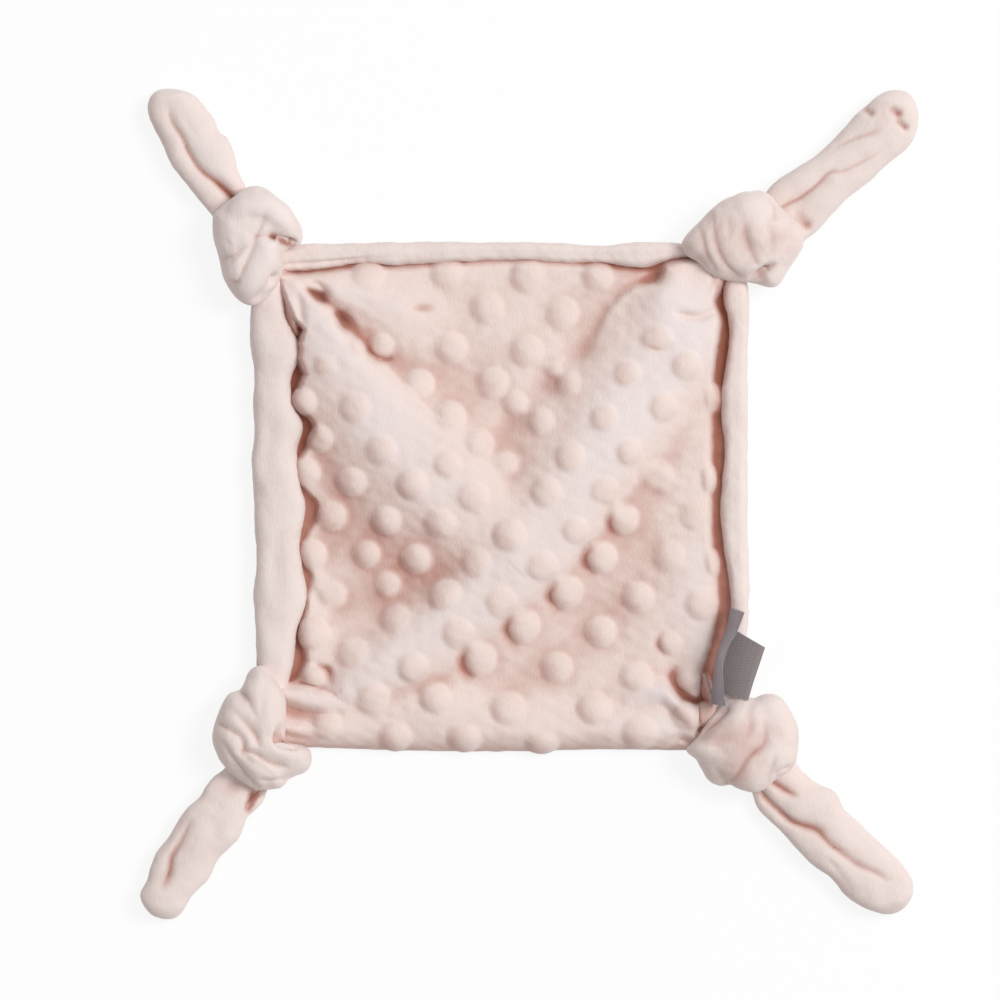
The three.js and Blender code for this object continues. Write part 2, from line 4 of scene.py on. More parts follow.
import bpy
import numpy as np
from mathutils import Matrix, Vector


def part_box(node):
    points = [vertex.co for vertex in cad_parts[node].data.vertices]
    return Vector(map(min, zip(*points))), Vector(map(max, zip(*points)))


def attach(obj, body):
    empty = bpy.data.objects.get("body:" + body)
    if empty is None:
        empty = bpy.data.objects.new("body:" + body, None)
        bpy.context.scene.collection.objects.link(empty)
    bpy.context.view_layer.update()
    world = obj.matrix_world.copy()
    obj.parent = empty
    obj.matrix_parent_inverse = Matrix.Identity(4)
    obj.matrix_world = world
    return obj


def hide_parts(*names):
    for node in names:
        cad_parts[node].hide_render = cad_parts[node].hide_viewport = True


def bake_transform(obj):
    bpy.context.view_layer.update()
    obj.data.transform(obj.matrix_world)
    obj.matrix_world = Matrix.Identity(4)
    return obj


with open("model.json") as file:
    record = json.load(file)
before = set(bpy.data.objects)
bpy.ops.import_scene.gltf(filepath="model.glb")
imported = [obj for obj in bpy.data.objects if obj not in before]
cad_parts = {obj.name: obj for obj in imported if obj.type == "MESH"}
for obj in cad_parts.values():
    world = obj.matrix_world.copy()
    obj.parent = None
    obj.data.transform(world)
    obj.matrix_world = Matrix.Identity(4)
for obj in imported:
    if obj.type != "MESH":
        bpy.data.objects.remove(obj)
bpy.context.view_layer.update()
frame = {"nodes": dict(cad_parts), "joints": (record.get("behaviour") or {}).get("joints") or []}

# Studio. The lovey lies on white paper under a large soft lamp, high on the right of the
# picture, a weak one overhead and an even white surround. A long lens looks straight down.
mm = 0.001
photo_px = 1000
px_per_mm = 2.6
middle_px = np.array([500.5, 497.5])


def spot(px, py):
    """Place in plan, in millimetres, of a pixel of the photograph."""
    return (px - middle_px[0]) / px_per_mm, (middle_px[1] - py) / px_per_mm


def put_in_scene(name, data):
    """New object for some data, linked to the scene."""
    made = bpy.data.objects.new(name, data)
    bpy.context.scene.collection.objects.link(made)
    return made


lens_mm = 300
sensor_mm = 36
mid_height_mm = 10
camera_data = bpy.data.cameras.new("camera")
camera_data.lens = lens_mm
camera_data.sensor_width = sensor_mm
camera = put_in_scene("camera", camera_data)
view_x, view_y = spot(photo_px / 2, photo_px / 2)
stand_off_mm = photo_px / px_per_mm * lens_mm / sensor_mm + mid_height_mm
camera.location = (view_x * mm, view_y * mm, stand_off_mm * mm)
camera_data.clip_end = 3 * stand_off_mm * mm
bpy.context.scene.camera = camera
bpy.context.scene.view_settings.view_transform = "Standard"


def place_lamp(name, heading, height, distance, size, power):
    """Square lamp that faces the middle from a heading and height in degrees, sizes in metres."""
    data = bpy.data.lights.new(name, "AREA")
    data.shape = "SQUARE"
    data.size = size
    data.energy = power
    lamp = put_in_scene(name, data)
    turn, rise = math.radians(heading), math.radians(height)
    lamp.location = (
        distance * math.cos(rise) * math.cos(turn),
        distance * math.cos(rise) * math.sin(turn),
        distance * math.sin(rise),
    )
    lamp.rotation_euler = (math.pi / 2 - rise, 0, turn + math.pi / 2)


place_lamp("key_lamp", heading=22, height=54, distance=4.0, size=1.6, power=98)
place_lamp("top_lamp", heading=100, height=78, distance=4.0, size=2.4, power=12)


def add_node(tree, kind, inputs=None, **settings):
    """Adds a node: settings are its own, and inputs are values or the outputs linked to it."""
    made = tree.nodes.new(kind)
    for name, value in settings.items():
        setattr(made, name, value)
    for name, value in (inputs or {}).items():
        if isinstance(value, bpy.types.NodeSocket):
            tree.links.new(value, made.inputs[name])
        else:
            made.inputs[name].default_value = value
    return made


world = bpy.data.worlds.new("surround")
world.use_nodes = True
world_tree = world.node_tree
world_tree.nodes.clear()
surround_strength = 0.43
rays = add_node(world_tree, "ShaderNodeLightPath")
seen = add_node(
    world_tree, "ShaderNodeMath",
    {0: rays.outputs["Is Camera Ray"], 1: rays.outputs["Is Glossy Ray"]}, operation="MAXIMUM",
)
seen = add_node(
    world_tree, "ShaderNodeMath",
    {0: seen.outputs[0], 1: rays.outputs["Is Transmission Ray"]}, operation="MAXIMUM",
)
strength = add_node(
    world_tree, "ShaderNodeMapRange",
    {"Value": seen.outputs[0], "To Min": surround_strength, "To Max": 1.0},
)
glow = add_node(
    world_tree, "ShaderNodeBackground", {"Color": (1, 1, 1, 1), "Strength": strength.outputs[0]}
)
add_node(world_tree, "ShaderNodeOutputWorld", {"Surface": glow.outputs[0]})
bpy.context.scene.world = world


def new_material(name):
    """Material and its node tree, which starts empty."""
    made = bpy.data.materials.new(name)
    made.use_nodes = True
    made.node_tree.nodes.clear()
    return made, made.node_tree


paper, paper_tree = new_material("white_paper")
paper_white = 0.95
paper_glow_share = 0.86
rays = add_node(paper_tree, "ShaderNodeLightPath")
matt = add_node(
    paper_tree, "ShaderNodeBsdfDiffuse", {"Color": (paper_white, paper_white, paper_white, 1)}
)
bright = add_node(paper_tree, "ShaderNodeEmission", {"Color": (1, 1, 1, 1), "Strength": 1.0})
share = add_node(
    paper_tree, "ShaderNodeMath",
    {0: rays.outputs["Is Camera Ray"], 1: paper_glow_share}, operation="MULTIPLY",
)
lit = add_node(
    paper_tree, "ShaderNodeMixShader",
    {0: share.outputs[0], 1: matt.outputs[0], 2: bright.outputs[0]},
)
add_node(paper_tree, "ShaderNodeOutputMaterial", {"Surface": lit.outputs[0]})
paper_half_m = 12.0
paper_mesh = bpy.data.meshes.new("paper")
paper_mesh.from_pydata(
    [(x * paper_half_m, y * paper_half_m, 0) for x, y in ((-1, -1), (1, -1), (1, 1), (-1, 1))],
    [], [(0, 1, 2, 3)],
)
paper_mesh.materials.append(paper)
floor = put_in_scene("paper", paper_mesh)

# Back cloth: one layer of smooth blush velour, a short dense cut pile. It lies flat on the
# table, runs out under the rolled margins on every side and is gathered into the knots.


def linear(hex_colour):
    """Colour for a shader from an sRGB hex value."""
    channels = [int(hex_colour[k:k + 2], 16) / 255 for k in (1, 3, 5)]
    return [c / 12.92 if c <= 0.04045 else ((c + 0.055) / 1.055) ** 2.4 for c in channels] + [1]


# The way that slopes face where shade is painted on them, straight away from the key lamp
shade_way = (-0.93, -0.37)


def pile_fabric(name, painted_highlight, face, painted_shade_colour, painted_deep_shade, slope_shade, nap_mm, tuft_mm, tuft_depth_mm, sheen):
    """Cut pile cloth, matt with a soft sheen. Shade is painted into its colour, deeper on slopes that face
    away from the key lamp and where the painted shade attribute is above zero, in hollows, creases and
    strokes, and darkest in the deepest holes; a highlight is painted paler along crests, where that attribute
    is below zero. Its nap has a slow random mottle of tone. Single fibres are too fine to show, so that tufts
    of them are drawn."""
    made, tree = new_material(name)
    place = add_node(tree, "ShaderNodeTexCoord").outputs["Object"]
    painted_shade = add_node(tree, "ShaderNodeAttribute", attribute_name="painted_shade").outputs["Fac"]
    nap = add_node(
        tree, "ShaderNodeTexNoise",
        {"Vector": place, "Scale": 1 / (nap_mm * mm), "Detail": 2.0, "Roughness": 0.5},
    )
    combed = add_node(
        tree, "ShaderNodeMapping", {"Vector": place, "Rotation": (0, 0, 0.5), "Scale": (1, 0.35, 1)}
    )
    tufts = add_node(
        tree, "ShaderNodeTexNoise",
        {"Vector": combed.outputs[0], "Scale": 1 / (tuft_mm * mm), "Detail": 3.0, "Roughness": 0.6},
    )
    # Painted shade from the painted shade attribute: deeper in colour in hollows, creases, gaps and strokes
    depth = add_node(
        tree, "ShaderNodeMapRange",
        {"Value": painted_shade, "From Min": 0.12, "From Max": 1.3, "To Min": 0.0, "To Max": 1.0},
    )
    # Painted shade, deeper in colour on slopes that face away from the key lamp
    slope = add_node(
        tree, "ShaderNodeVectorMath",
        {0: add_node(tree, "ShaderNodeTexCoord").outputs["Normal"], 1: (*shade_way, 0)},
        operation="DOT_PRODUCT",
    )
    slope_shade_share = add_node(
        tree, "ShaderNodeMapRange",
        {"Value": slope.outputs["Value"], "From Min": 0.02, "From Max": 0.75,
         "To Min": 0.0, "To Max": slope_shade},
    )
    depth = add_node(
        tree, "ShaderNodeMath", {0: depth.outputs[0], 1: slope_shade_share.outputs[0]}, operation="ADD"
    )
    nap_tone_and_painted_shade = add_node(
        tree, "ShaderNodeMapRange",
        {"Value": nap.outputs["Fac"], "From Min": 0.3, "From Max": 0.7, "To Min": -0.07, "To Max": 0.08},
    )
    speck = add_node(
        tree, "ShaderNodeMapRange",
        {"Value": tufts.outputs["Fac"], "From Min": 0.25, "From Max": 0.75,
         "To Min": 0.08, "To Max": -0.08},
    )
    amount = add_node(
        tree, "ShaderNodeMath", {0: depth.outputs[0], 1: nap_tone_and_painted_shade.outputs[0]}, operation="ADD"
    )
    amount = add_node(
        tree, "ShaderNodeMath", {0: amount.outputs[0], 1: speck.outputs[0]},
        operation="ADD", use_clamp=True,
    )
    colour = add_node(
        tree, "ShaderNodeMix",
        {"Factor": amount.outputs[0], "A": linear(face), "B": linear(painted_shade_colour)}, data_type="RGBA",
    )
    # Painted highlight, paler along crests, where the painted shade attribute is below zero
    highlight_share = add_node(
        tree, "ShaderNodeMapRange",
        {"Value": painted_shade, "From Min": -0.05, "From Max": -0.95, "To Min": 0.0, "To Max": 1.0},
    )
    colour = add_node(
        tree, "ShaderNodeMix",
        {"Factor": highlight_share.outputs[0], "A": colour.outputs["Result"], "B": linear(painted_highlight)}, data_type="RGBA",
    )
    # Painted shade, darkest in the deepest holes and gaps
    deep_shade_share = add_node(
        tree, "ShaderNodeMapRange",
        {"Value": painted_shade, "From Min": 1.0, "From Max": 2.0, "To Min": 0.0, "To Max": 1.0},
    )
    colour = add_node(
        tree, "ShaderNodeMix",
        {"Factor": deep_shade_share.outputs[0], "A": colour.outputs["Result"], "B": linear(painted_deep_shade)}, data_type="RGBA",
    )
    relief = add_node(
        tree, "ShaderNodeBump",
        {"Strength": 0.6, "Distance": tuft_depth_mm * mm, "Height": tufts.outputs["Fac"]},
    )
    cloth = add_node(
        tree, "ShaderNodeBsdfPrincipled",
        {"Base Color": colour.outputs["Result"], "Roughness": 0.92, "IOR": 1.45,
         "Specular IOR Level": 0.15, "Sheen Weight": sheen, "Sheen Roughness": 0.45,
         "Sheen Tint": (1.0, 0.97, 0.98, 1), "Normal": relief.outputs[0]},
    )
    add_node(tree, "ShaderNodeOutputMaterial", {"Surface": cloth.outputs[0]})
    return made


# Colours: painted highlight on crests, face, painted shade, and the darkest painted shade in deep holes and
# gaps
velour = pile_fabric(
    "velour", "#EEE3E0", "#EBDBD5", "#C0958A", "#9A6552", slope_shade=0.22, nap_mm=16, tuft_mm=0.9,
    tuft_depth_mm=0.35, sheen=0.35,
)

# The four corners, from the imported joints: the hinge of each fold and the way out from it, and where its
# own patch starts
corner_names = ("upper_left", "upper_right", "lower_left", "lower_right")
joints = {joint["name"]: joint for joint in frame["joints"]}
split_mm = -18
corners = {}
for corner_name in corner_names:
    hinge = np.array(joints[corner_name + "_fold"]["pos_m"]) / mm
    outward = np.sign(hinge[:2]) / math.sqrt(2)
    corners[corner_name] = {"hinge": hinge, "outward": outward}


def past_hinge(corner_name, points):
    """How far points in plan, in millimetres, lie beyond a corner's fold line."""
    corner = corners[corner_name]
    return (points[..., :2] - corner["hinge"][:2]) @ corner["outward"]


def bend_at(piece):
    """Bakes the piece's placement into its mesh; the piece lies still and does not bend."""
    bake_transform(piece)


def curve_through(rows, pieces=6):
    """Smooth curve through rows of numbers, as more rows."""
    rows = np.asarray(rows, float)
    grown = np.vstack([2 * rows[0] - rows[1], rows, 2 * rows[-1] - rows[-2]])
    found = []
    for k in range(1, len(grown) - 2):
        a, b, c, d = grown[k - 1:k + 3]
        for t in np.arange(pieces) / pieces:
            bend = (2 * a - 5 * b + 4 * c - d) * t * t + (3 * b - a - 3 * c + d) * t ** 3
            found.append((2 * b + (c - a) * t + bend) / 2)
    found.append(rows[-1])
    return np.array(found)


def ripple(points, length_mm, seed, waves=14):
    """Smooth uneven waves from -1 to 1 at points in millimetres, the same on every run."""
    chance = np.random.default_rng(seed)
    total = np.zeros(points.shape[:-1])
    for _ in range(waves):
        way = chance.normal(size=3)
        way *= chance.uniform(0.6, 1.4) * 2 * math.pi / (length_mm * np.linalg.norm(way))
        total += np.sin(points @ way + chance.uniform(0, 2 * math.pi))
    return total / math.sqrt(waves)


def smooth_step(low, high, values):
    """0 where the values are at low or beyond it, 1 at high, and a smooth rise between."""
    share = np.clip((values - low) / (high - low), 0, 1)
    return share * share * (3 - 2 * share)


def grid_normals(points, wrapped=False):
    """Unit normals of a grid of points; a wrapped grid closes on itself across its rows."""
    down = np.gradient(points, axis=0)
    if wrapped:
        across = (np.roll(points, -1, axis=1) - np.roll(points, 1, axis=1)) / 2
    else:
        across = np.gradient(points, axis=1)
    normals = np.cross(across, down)
    return normals / np.maximum(np.linalg.norm(normals, axis=-1, keepdims=True), 1e-9)


def grid_hollows(points, normals, rounds, depth_mm, wrapped=False):
    """How far each point of a grid lies below its surroundings, as a share of a depth."""
    calm = points.copy()
    for _ in range(rounds):
        if wrapped:
            sides = np.roll(calm, 1, axis=1) + np.roll(calm, -1, axis=1)
        else:
            padded = np.pad(calm, ((0, 0), (1, 1), (0, 0)), mode="edge")
            sides = padded[:, :-2] + padded[:, 2:]
        padded = np.pad(calm, ((1, 1), (0, 0), (0, 0)), mode="edge")
        calm = (2 * calm + sides + padded[:-2] + padded[2:]) / 6
    return np.clip(((calm - points) * normals).sum(axis=-1) / depth_mm, -1, 1)


def add_piece(name, points, faces, fabric, body, normals=None, hollows=None):
    """Mesh object from points in millimetres, smooth, with its fabric, on its body."""
    mesh = bpy.data.meshes.new(name)
    mesh.from_pydata((np.asarray(points) * mm).tolist(), [], [list(map(int, f)) for f in faces])
    mesh.polygons.foreach_set("use_smooth", [True] * len(mesh.polygons))
    mesh.materials.append(fabric)
    # Painted shade, and painted highlight where it is below zero, kept on the mesh for its fabric
    if hollows is not None:
        mesh.attributes.new("painted_shade", "FLOAT", "POINT").data.foreach_set("value", hollows)
    mesh.update()
    if normals is not None:
        mesh.normals_split_custom_set_from_vertices(normals.tolist())
    piece = put_in_scene(name, mesh)
    if body:
        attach(piece, body)
    return piece


def cloth_piece(name, upper, lower, chosen, fabric, body, nap_tone_and_painted_shade, depth_mm=1.5):
    """Closed piece of cloth from the chosen cells of two grids of points. Its normals and painted shade are
    the whole cloth's, so that no line shows where two pieces of it meet. The painted shade is how far each
    point lies below its surroundings, and on the upper face the given painted shade and painted highlight are
    added to it."""
    rows, columns = upper.shape[:2]
    upper_normals, lower_normals = grid_normals(upper), -grid_normals(lower)
    if upper_normals[rows // 2, columns // 2, 2] < 0:
        upper_normals, lower_normals = -upper_normals, -lower_normals
    # How widely the painted shade is measured on each face, and the most painted highlight that the upper
    # face takes from it
    upper_rounds, lower_rounds, crest_limit = 40, 24, -0.06
    upper_hollows = grid_hollows(upper, upper_normals, upper_rounds, depth_mm)
    hollows = [
        np.maximum(upper_hollows, crest_limit) + nap_tone_and_painted_shade,
        grid_hollows(lower, lower_normals, lower_rounds, depth_mm),
    ]
    index = np.arange(rows * columns).reshape(rows, columns)
    a, b, c, d = index[:-1, :-1], index[:-1, 1:], index[1:, 1:], index[1:, :-1]
    quads = np.stack([a, d, c, b], axis=-1)[chosen]
    below = quads[:, ::-1] + rows * columns
    sides = np.concatenate([quads[:, [k, (k + 1) % 4]] for k in range(4)])
    known = {(int(p), int(q)) for p, q in sides}
    rim = [(q, p, p + rows * columns, q + rows * columns) for p, q in known if (q, p) not in known]
    faces = np.concatenate([quads, below, np.array(sorted(rim))])
    used = np.unique(faces)
    new_place = np.zeros(2 * rows * columns, int)
    new_place[used] = np.arange(len(used))
    points = np.concatenate([upper.reshape(-1, 3), lower.reshape(-1, 3)])[used]
    normals = np.concatenate([upper_normals.reshape(-1, 3), lower_normals.reshape(-1, 3)])[used]
    painted_shade = np.concatenate([h.ravel() for h in hollows])[used]
    return add_piece(name, points, new_place[faces], fabric, body, normals, painted_shade)


def cloth_with_corners(name, upper, lower, fabric, nodes, nap_tone_and_painted_shade):
    """The middle of a cloth, on the body, and a patch at each corner, which lies still."""
    centres = (upper[:-1, :-1] + upper[1:, :-1] + upper[:-1, 1:] + upper[1:, 1:]) / 4
    rest = np.ones(centres.shape[:2], bool)
    patches = []
    for corner_name in corner_names:
        patch = past_hinge(corner_name, centres) > split_mm
        rest &= ~patch
        piece = cloth_piece(f"{name}_{corner_name}", upper, lower, patch, fabric, None, nap_tone_and_painted_shade)
        bend_at(piece)
        patches.append(piece)
    middle = cloth_piece(name, upper, lower, rest, fabric, "body", nap_tone_and_painted_shade)
    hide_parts(*nodes)
    return middle, patches


back_edge_px = {"left": 256, "right": 746, "top": 246, "bottom": 747}
back_step_mm = 1.5
back_left, back_top = spot(back_edge_px["left"], back_edge_px["top"])
back_right, back_bottom = spot(back_edge_px["right"], back_edge_px["bottom"])
back_columns = int((back_right - back_left) / back_step_mm)
back_rows = int((back_top - back_bottom) / back_step_mm)
x, y = np.meshgrid(
    np.linspace(back_left, back_right, back_columns), np.linspace(back_top, back_bottom, back_rows)
)
flat = np.stack([x, y, np.zeros_like(x)], axis=-1)
# How the back waves, the level and the least thickness of its upper side, its gap to the
# table, and how far in and how high its edge turns up
back_wave_mm = 0.35
long_wave_mm, short_wave_mm = 38, 15
back_cloth_mm = 3.2
back_least_mm = 0.6
table_gap_mm = 0.05
edge_turn_mm = 5
edge_rise_mm = 1.6
inside = np.minimum.reduce([x - back_left, back_right - x, back_top - y, y - back_bottom])
turned_up = edge_rise_mm * (1 - smooth_step(0, edge_turn_mm, inside))
long_wave, short_wave = ripple(flat, long_wave_mm, seed=3), ripple(flat, short_wave_mm, seed=4)
wave = back_wave_mm * (1 + 0.6 * long_wave + 0.35 * short_wave)
wave *= smooth_step(edge_turn_mm, 3 * edge_turn_mm, inside)
under = flat.copy()
under[..., 2] = np.maximum(wave, table_gap_mm) + turned_up
over = flat.copy()
over[..., 2] = np.maximum(under[..., 2] + back_least_mm, back_cloth_mm)
back_cloth, back_patches = cloth_with_corners(
    "back_cloth", over, under, velour, ["back_panel"], nap_tone_and_painted_shade=0.0
)

# Front cloth: blush plush with rows of raised dots, pulled into long soft folds by the knots.
# It tucks in under the rolled margins on three sides and rounds over at the lower edge.
# Colours: painted highlight on crests, face, painted shade, and the darkest painted shade in deep holes and
# gaps
dimple_plush = pile_fabric(
    "dimple_plush", "#EFE4E4", "#ECD9D1", "#BF8C80", "#9A6250", slope_shade=0.5, nap_mm=12, tuft_mm=0.8,
    tuft_depth_mm=0.35, sheen=0.4,
)


def curve_mm(rows_px):
    """Smooth curve through rows of a pixel and more numbers, in plan in millimetres."""
    line = curve_through(rows_px)
    line[:, 0], line[:, 1] = spot(line[:, 0], line[:, 1])
    return line


def nearest_on(line, points):
    """Distance from each point to a line in plan, its side, and the line's other numbers
    there. The side is 1 on the left of the line's direction and -1 on its right."""
    x, y = points[..., 0], points[..., 1]
    best = np.full(x.shape, np.inf)
    side = np.zeros(x.shape)
    rest = np.zeros(x.shape + (line.shape[1] - 2,))
    for a, b in zip(line[:-1], line[1:]):
        run = b[:2] - a[:2]
        t = np.clip(((x - a[0]) * run[0] + (y - a[1]) * run[1]) / (run @ run), 0, 1)
        dx, dy = x - a[0] - t * run[0], y - a[1] - t * run[1]
        distance = np.hypot(dx, dy)
        nearer = distance < best
        best = np.where(nearer, distance, best)
        side = np.where(nearer, np.sign(run[0] * dy - run[1] * dx), side)
        rest = np.where(nearer[..., None], a[2:] + t[..., None] * (b[2:] - a[2:]), rest)
    return best, side, rest


def fold_height(points, rows_px, powers):
    """Height of a fold along a line. Each row of the line is a place, the height there, and
    how far the fold reaches to the left and to the right of the line's direction. The two
    powers say how suddenly it ends on those sides."""
    distance, side, rest = nearest_on(curve_mm(rows_px), points)
    reach = np.where(side > 0, rest[..., 1], rest[..., 2])
    return rest[..., 0] * np.exp(-((distance / reach) ** np.where(side > 0, *powers)))


def groove_depth(points, rows_px, half_mm):
    """Depth of a groove of one width along a line of places and depths."""
    distance, _, rest = nearest_on(curve_mm(rows_px), points)
    return rest[..., 0] * np.exp(-((distance / half_mm) ** 2))


def edge_cut(points, rows_px, width_mm):
    """What is left of a fold beyond its edge, on the left of a line: each row is a place and
    the share that is cut away there, over a width."""
    distance, side, rest = nearest_on(curve_mm(rows_px), points)
    return 1 - rest[..., 0] * smooth_step(-width_mm / 3, width_mm, distance * side)


def blurred(values, step_mm, reach_mm):
    """Values of an even grid, blurred over a reach."""
    for _ in range(2):
        at = np.arange(len(values)) * step_mm
        weights = np.exp(-(((at[:, None] - at) / reach_mm) ** 2))
        values = (weights / weights.sum(axis=1, keepdims=True) @ values).T
    return values


# The two broad folds that run in from the upper corners and meet: the rows of each, its edge,
# and the width over which it drops there
broad_folds = [
    (
        [(290, 300, 6, 10, 11), (322, 342, 8, 11, 16), (352, 388, 9, 15, 22), (386, 430, 9, 22, 26),
         (424, 474, 8.6, 26, 27), (462, 514, 7.6, 26, 24), (500, 552, 6, 18, 17)],
        [(300, 284, 0.9), (321, 301, 0.9), (333, 311, 0.8), (338, 328, 0.75), (353, 339, 0.35),
         (366, 355, 0.28), (386, 367, 0.25), (404, 387, 0.2), (430, 412, 0.1), (455, 436, 0)],
        1.6,
    ),
    (
        [(712, 290, 6, 14, 15), (690, 318, 8, 20, 18), (654, 362, 9, 22, 21), (622, 408, 9, 22, 22),
         (590, 455, 9, 22, 22), (555, 505, 9, 21, 20), (515, 555, 8.5, 21, 16), (465, 602, 7.4, 19, 13),
         (410, 645, 6, 15, 11), (350, 685, 4.5, 10, 9)],
        [(718, 418, 0), (690, 438, 0.1), (651, 466, 0.25), (615, 508, 0.35), (584, 548, 0.4),
         (544, 588, 0.4), (499, 622, 0.35), (459, 655, 0.25), (420, 690, 0.15), (395, 712, 0)],
        4.0,
    ),
]
broad_powers = (3.4, 2.3)
# Smaller folds, in the same kind of rows, before the cloth tucks in under the margins
ridges = [
    [(712, 290, 2, 5, 9), (704, 370, 1.8, 5, 14), (700, 440, 1.8, 5, 15), (702, 520, 2, 5, 15),
     (704, 590, 1.7, 5, 14), (700, 650, 1.4, 5, 10)],
    [(302, 540, 0, 6, 6), (312, 580, 1.2, 6, 6), (314, 630, 1.6, 7, 6), (316, 668, 1.6, 8, 6)],
    [(330, 722, 2, 9, 9), (420, 712, 2.5, 12, 9), (510, 722, 2.5, 12, 9), (600, 726, 3, 12, 9),
     (690, 722, 3, 12, 9)],
    [(300, 282, 4.5, 6, 5), (335, 292, 5.5, 7, 7), (370, 302, 4.5, 9, 11), (410, 318, 3, 10, 13),
     (460, 335, 0, 10, 12)],
    [(702, 722, 5, 5, 3.5), (686, 707, 6, 5, 3), (666, 692, 5.5, 5.5, 4), (640, 695, 3.5, 6, 7),
     (606, 704, 0, 7, 8)],
]
ridge_powers = (2.4, 2.4)
# Narrow folds that lie across the tucked edge beside a knot, with the height of their crest
# above the table
gathers = [
    [(272, 274, 12.5, 3, 3), (292, 281, 13.5, 4, 4), (312, 286, 13, 4, 4), (330, 291, 11, 4, 4)],
    [(281, 274, 12.5, 3.4, 4), (289, 298, 13.5, 3.6, 3.4), (292, 318, 12, 3.4, 3.4),
     (297, 332, 10, 2.8, 2.8)],
    [(268, 688, 11.5, 6, 6), (300, 697, 13, 7, 7), (332, 703, 12.5, 8, 8), (366, 704, 11, 9, 9)],
    [(272, 724, 10.5, 5, 5), (298, 729, 11.5, 6, 6), (330, 736, 11, 6, 6)],
    [(724, 270, 13, 3, 6), (713, 290, 15, 3.5, 7), (706, 306, 15, 3.5, 6), (704, 324, 12, 4, 5)],
    [(676, 724, 12, 8, 7), (692, 720, 12.5, 8, 6), (708, 714, 12.5, 7, 5), (724, 708, 11, 5, 4)],
    [(672, 744, 8, 3, 3), (684, 742, 10, 3.5, 3.5), (698, 740, 10, 4, 4), (709, 729, 10.5, 5, 5)],
    [(705, 676, 9, 2.5, 2.5), (708, 689, 11, 3, 3), (712, 701, 11, 3.5, 3.5)],
]
# Lips of cloth that stand up and drop off sharply on the left of their line, and the holes
# under them, which are steep on the right
lips = [
    [(304, 286, 1, 1.3, 5), (321, 302, 2, 1.3, 5), (333, 312, 2, 1.3, 5), (338, 328, 1.5, 1.3, 6),
     (353, 339, 0.8, 1.3, 6), (366, 355, 0.8, 1.4, 7), (386, 368, 0.6, 1.6, 8), (404, 387, 0, 2, 8)],
    [(582, 390, 0, 3, 9), (598, 345, 1.0, 2.4, 9), (612, 312, 1.8, 1.8, 9), (634, 291, 3.0, 1.5, 9),
     (658, 286, 4, 1.3, 8), (668, 262, 4, 1.3, 8)],
    [(303, 288, -1, 3, 1.2), (311, 292, -4.5, 4, 1.6), (319, 298, -5, 4, 1.6), (326, 304, -1.5, 3, 1.2)],
    [(334, 312, -1.5, 2.5, 1), (341, 318, -3.6, 3, 1.3), (348, 325, -1.5, 2.4, 1.2),
     (359, 339, -0.3, 1.5, 0.9), (368, 351, -0.8, 2, 1)],
]
lip_powers = (2.0, 2.0)
# Hollows and creases: places with depths, and a half width
dips = [
    ([(299, 296, 0.5), (301, 311, 1.2), (302, 327, 0.8)], 1.7),
    ([(366, 350, 1.2), (376, 358, 1.8), (388, 359, 0.8)], 1.6),
    ([(655, 278, 3), (632, 294, 2), (606, 320, 0.8), (582, 352, 1.6), (564, 368, 0.4), (546, 384, 1.6),
      (524, 404, 0.4), (508, 426, 1.4), (486, 455, 0.4)], 5.5),
    ([(318, 392, 1), (330, 450, 1.8), (350, 515, 2.4), (385, 552, 2.4), (430, 570, 1.2), (470, 596, 0)], 17),
    ([(300, 620, 0.8), (330, 608, 1.6), (362, 600, 1)], 9),
    ([(640, 590, 0.4), (592, 628, 1), (544, 664, 1), (492, 706, 0.6)], 9),
    ([(318, 667, 1.6), (327, 671, 2.2), (330, 681, 1)], 1.5),
    ([(676, 665, 0.2), (673, 674, 1.2), (673, 684, 2.4), (679, 693, 4.5), (687, 700, 5), (698, 703, 4)],
     2.0),
    ([(660, 636, 0.4), (658, 645, 0.9), (663, 653, 0.5)], 1.5),
    ([(303, 562, 0.8), (309, 582, 1), (318, 604, 0.6)], 2.2),
    ([(668, 747, 0), (680, 739, 2.6), (694, 744, 2.4)], 1.4),
    ([(672, 312, 0), (684, 316, 2), (700, 317, 2.6), (712, 312, 2)], 1.6),
    ([(644, 346, 0), (654, 350, 1), (664, 349, 1), (674, 342, 0)], 1.3),
    ([(587, 546, 1), (584, 560, 2), (590, 572, 0.8)], 2.3),
    ([(552, 582, 1), (549, 596, 2), (556, 608, 0.8)], 2.3),
    ([(508, 615, 1), (506, 630, 2), (513, 643, 0.8)], 2.3),
    ([(464, 648, 1), (462, 663, 2), (469, 676, 0.8)], 2.3),
    ([(610, 510, 0.8), (608, 523, 1.8), (614, 534, 0.6)], 2.0),
    ([(280, 711, 1), (300, 715, 0.8), (322, 720, 0.5), (342, 722, 0)], 2.4),
    ([(276, 683, 1.4), (290, 685, 1.6), (302, 684, 0.4)], 1.8),
]

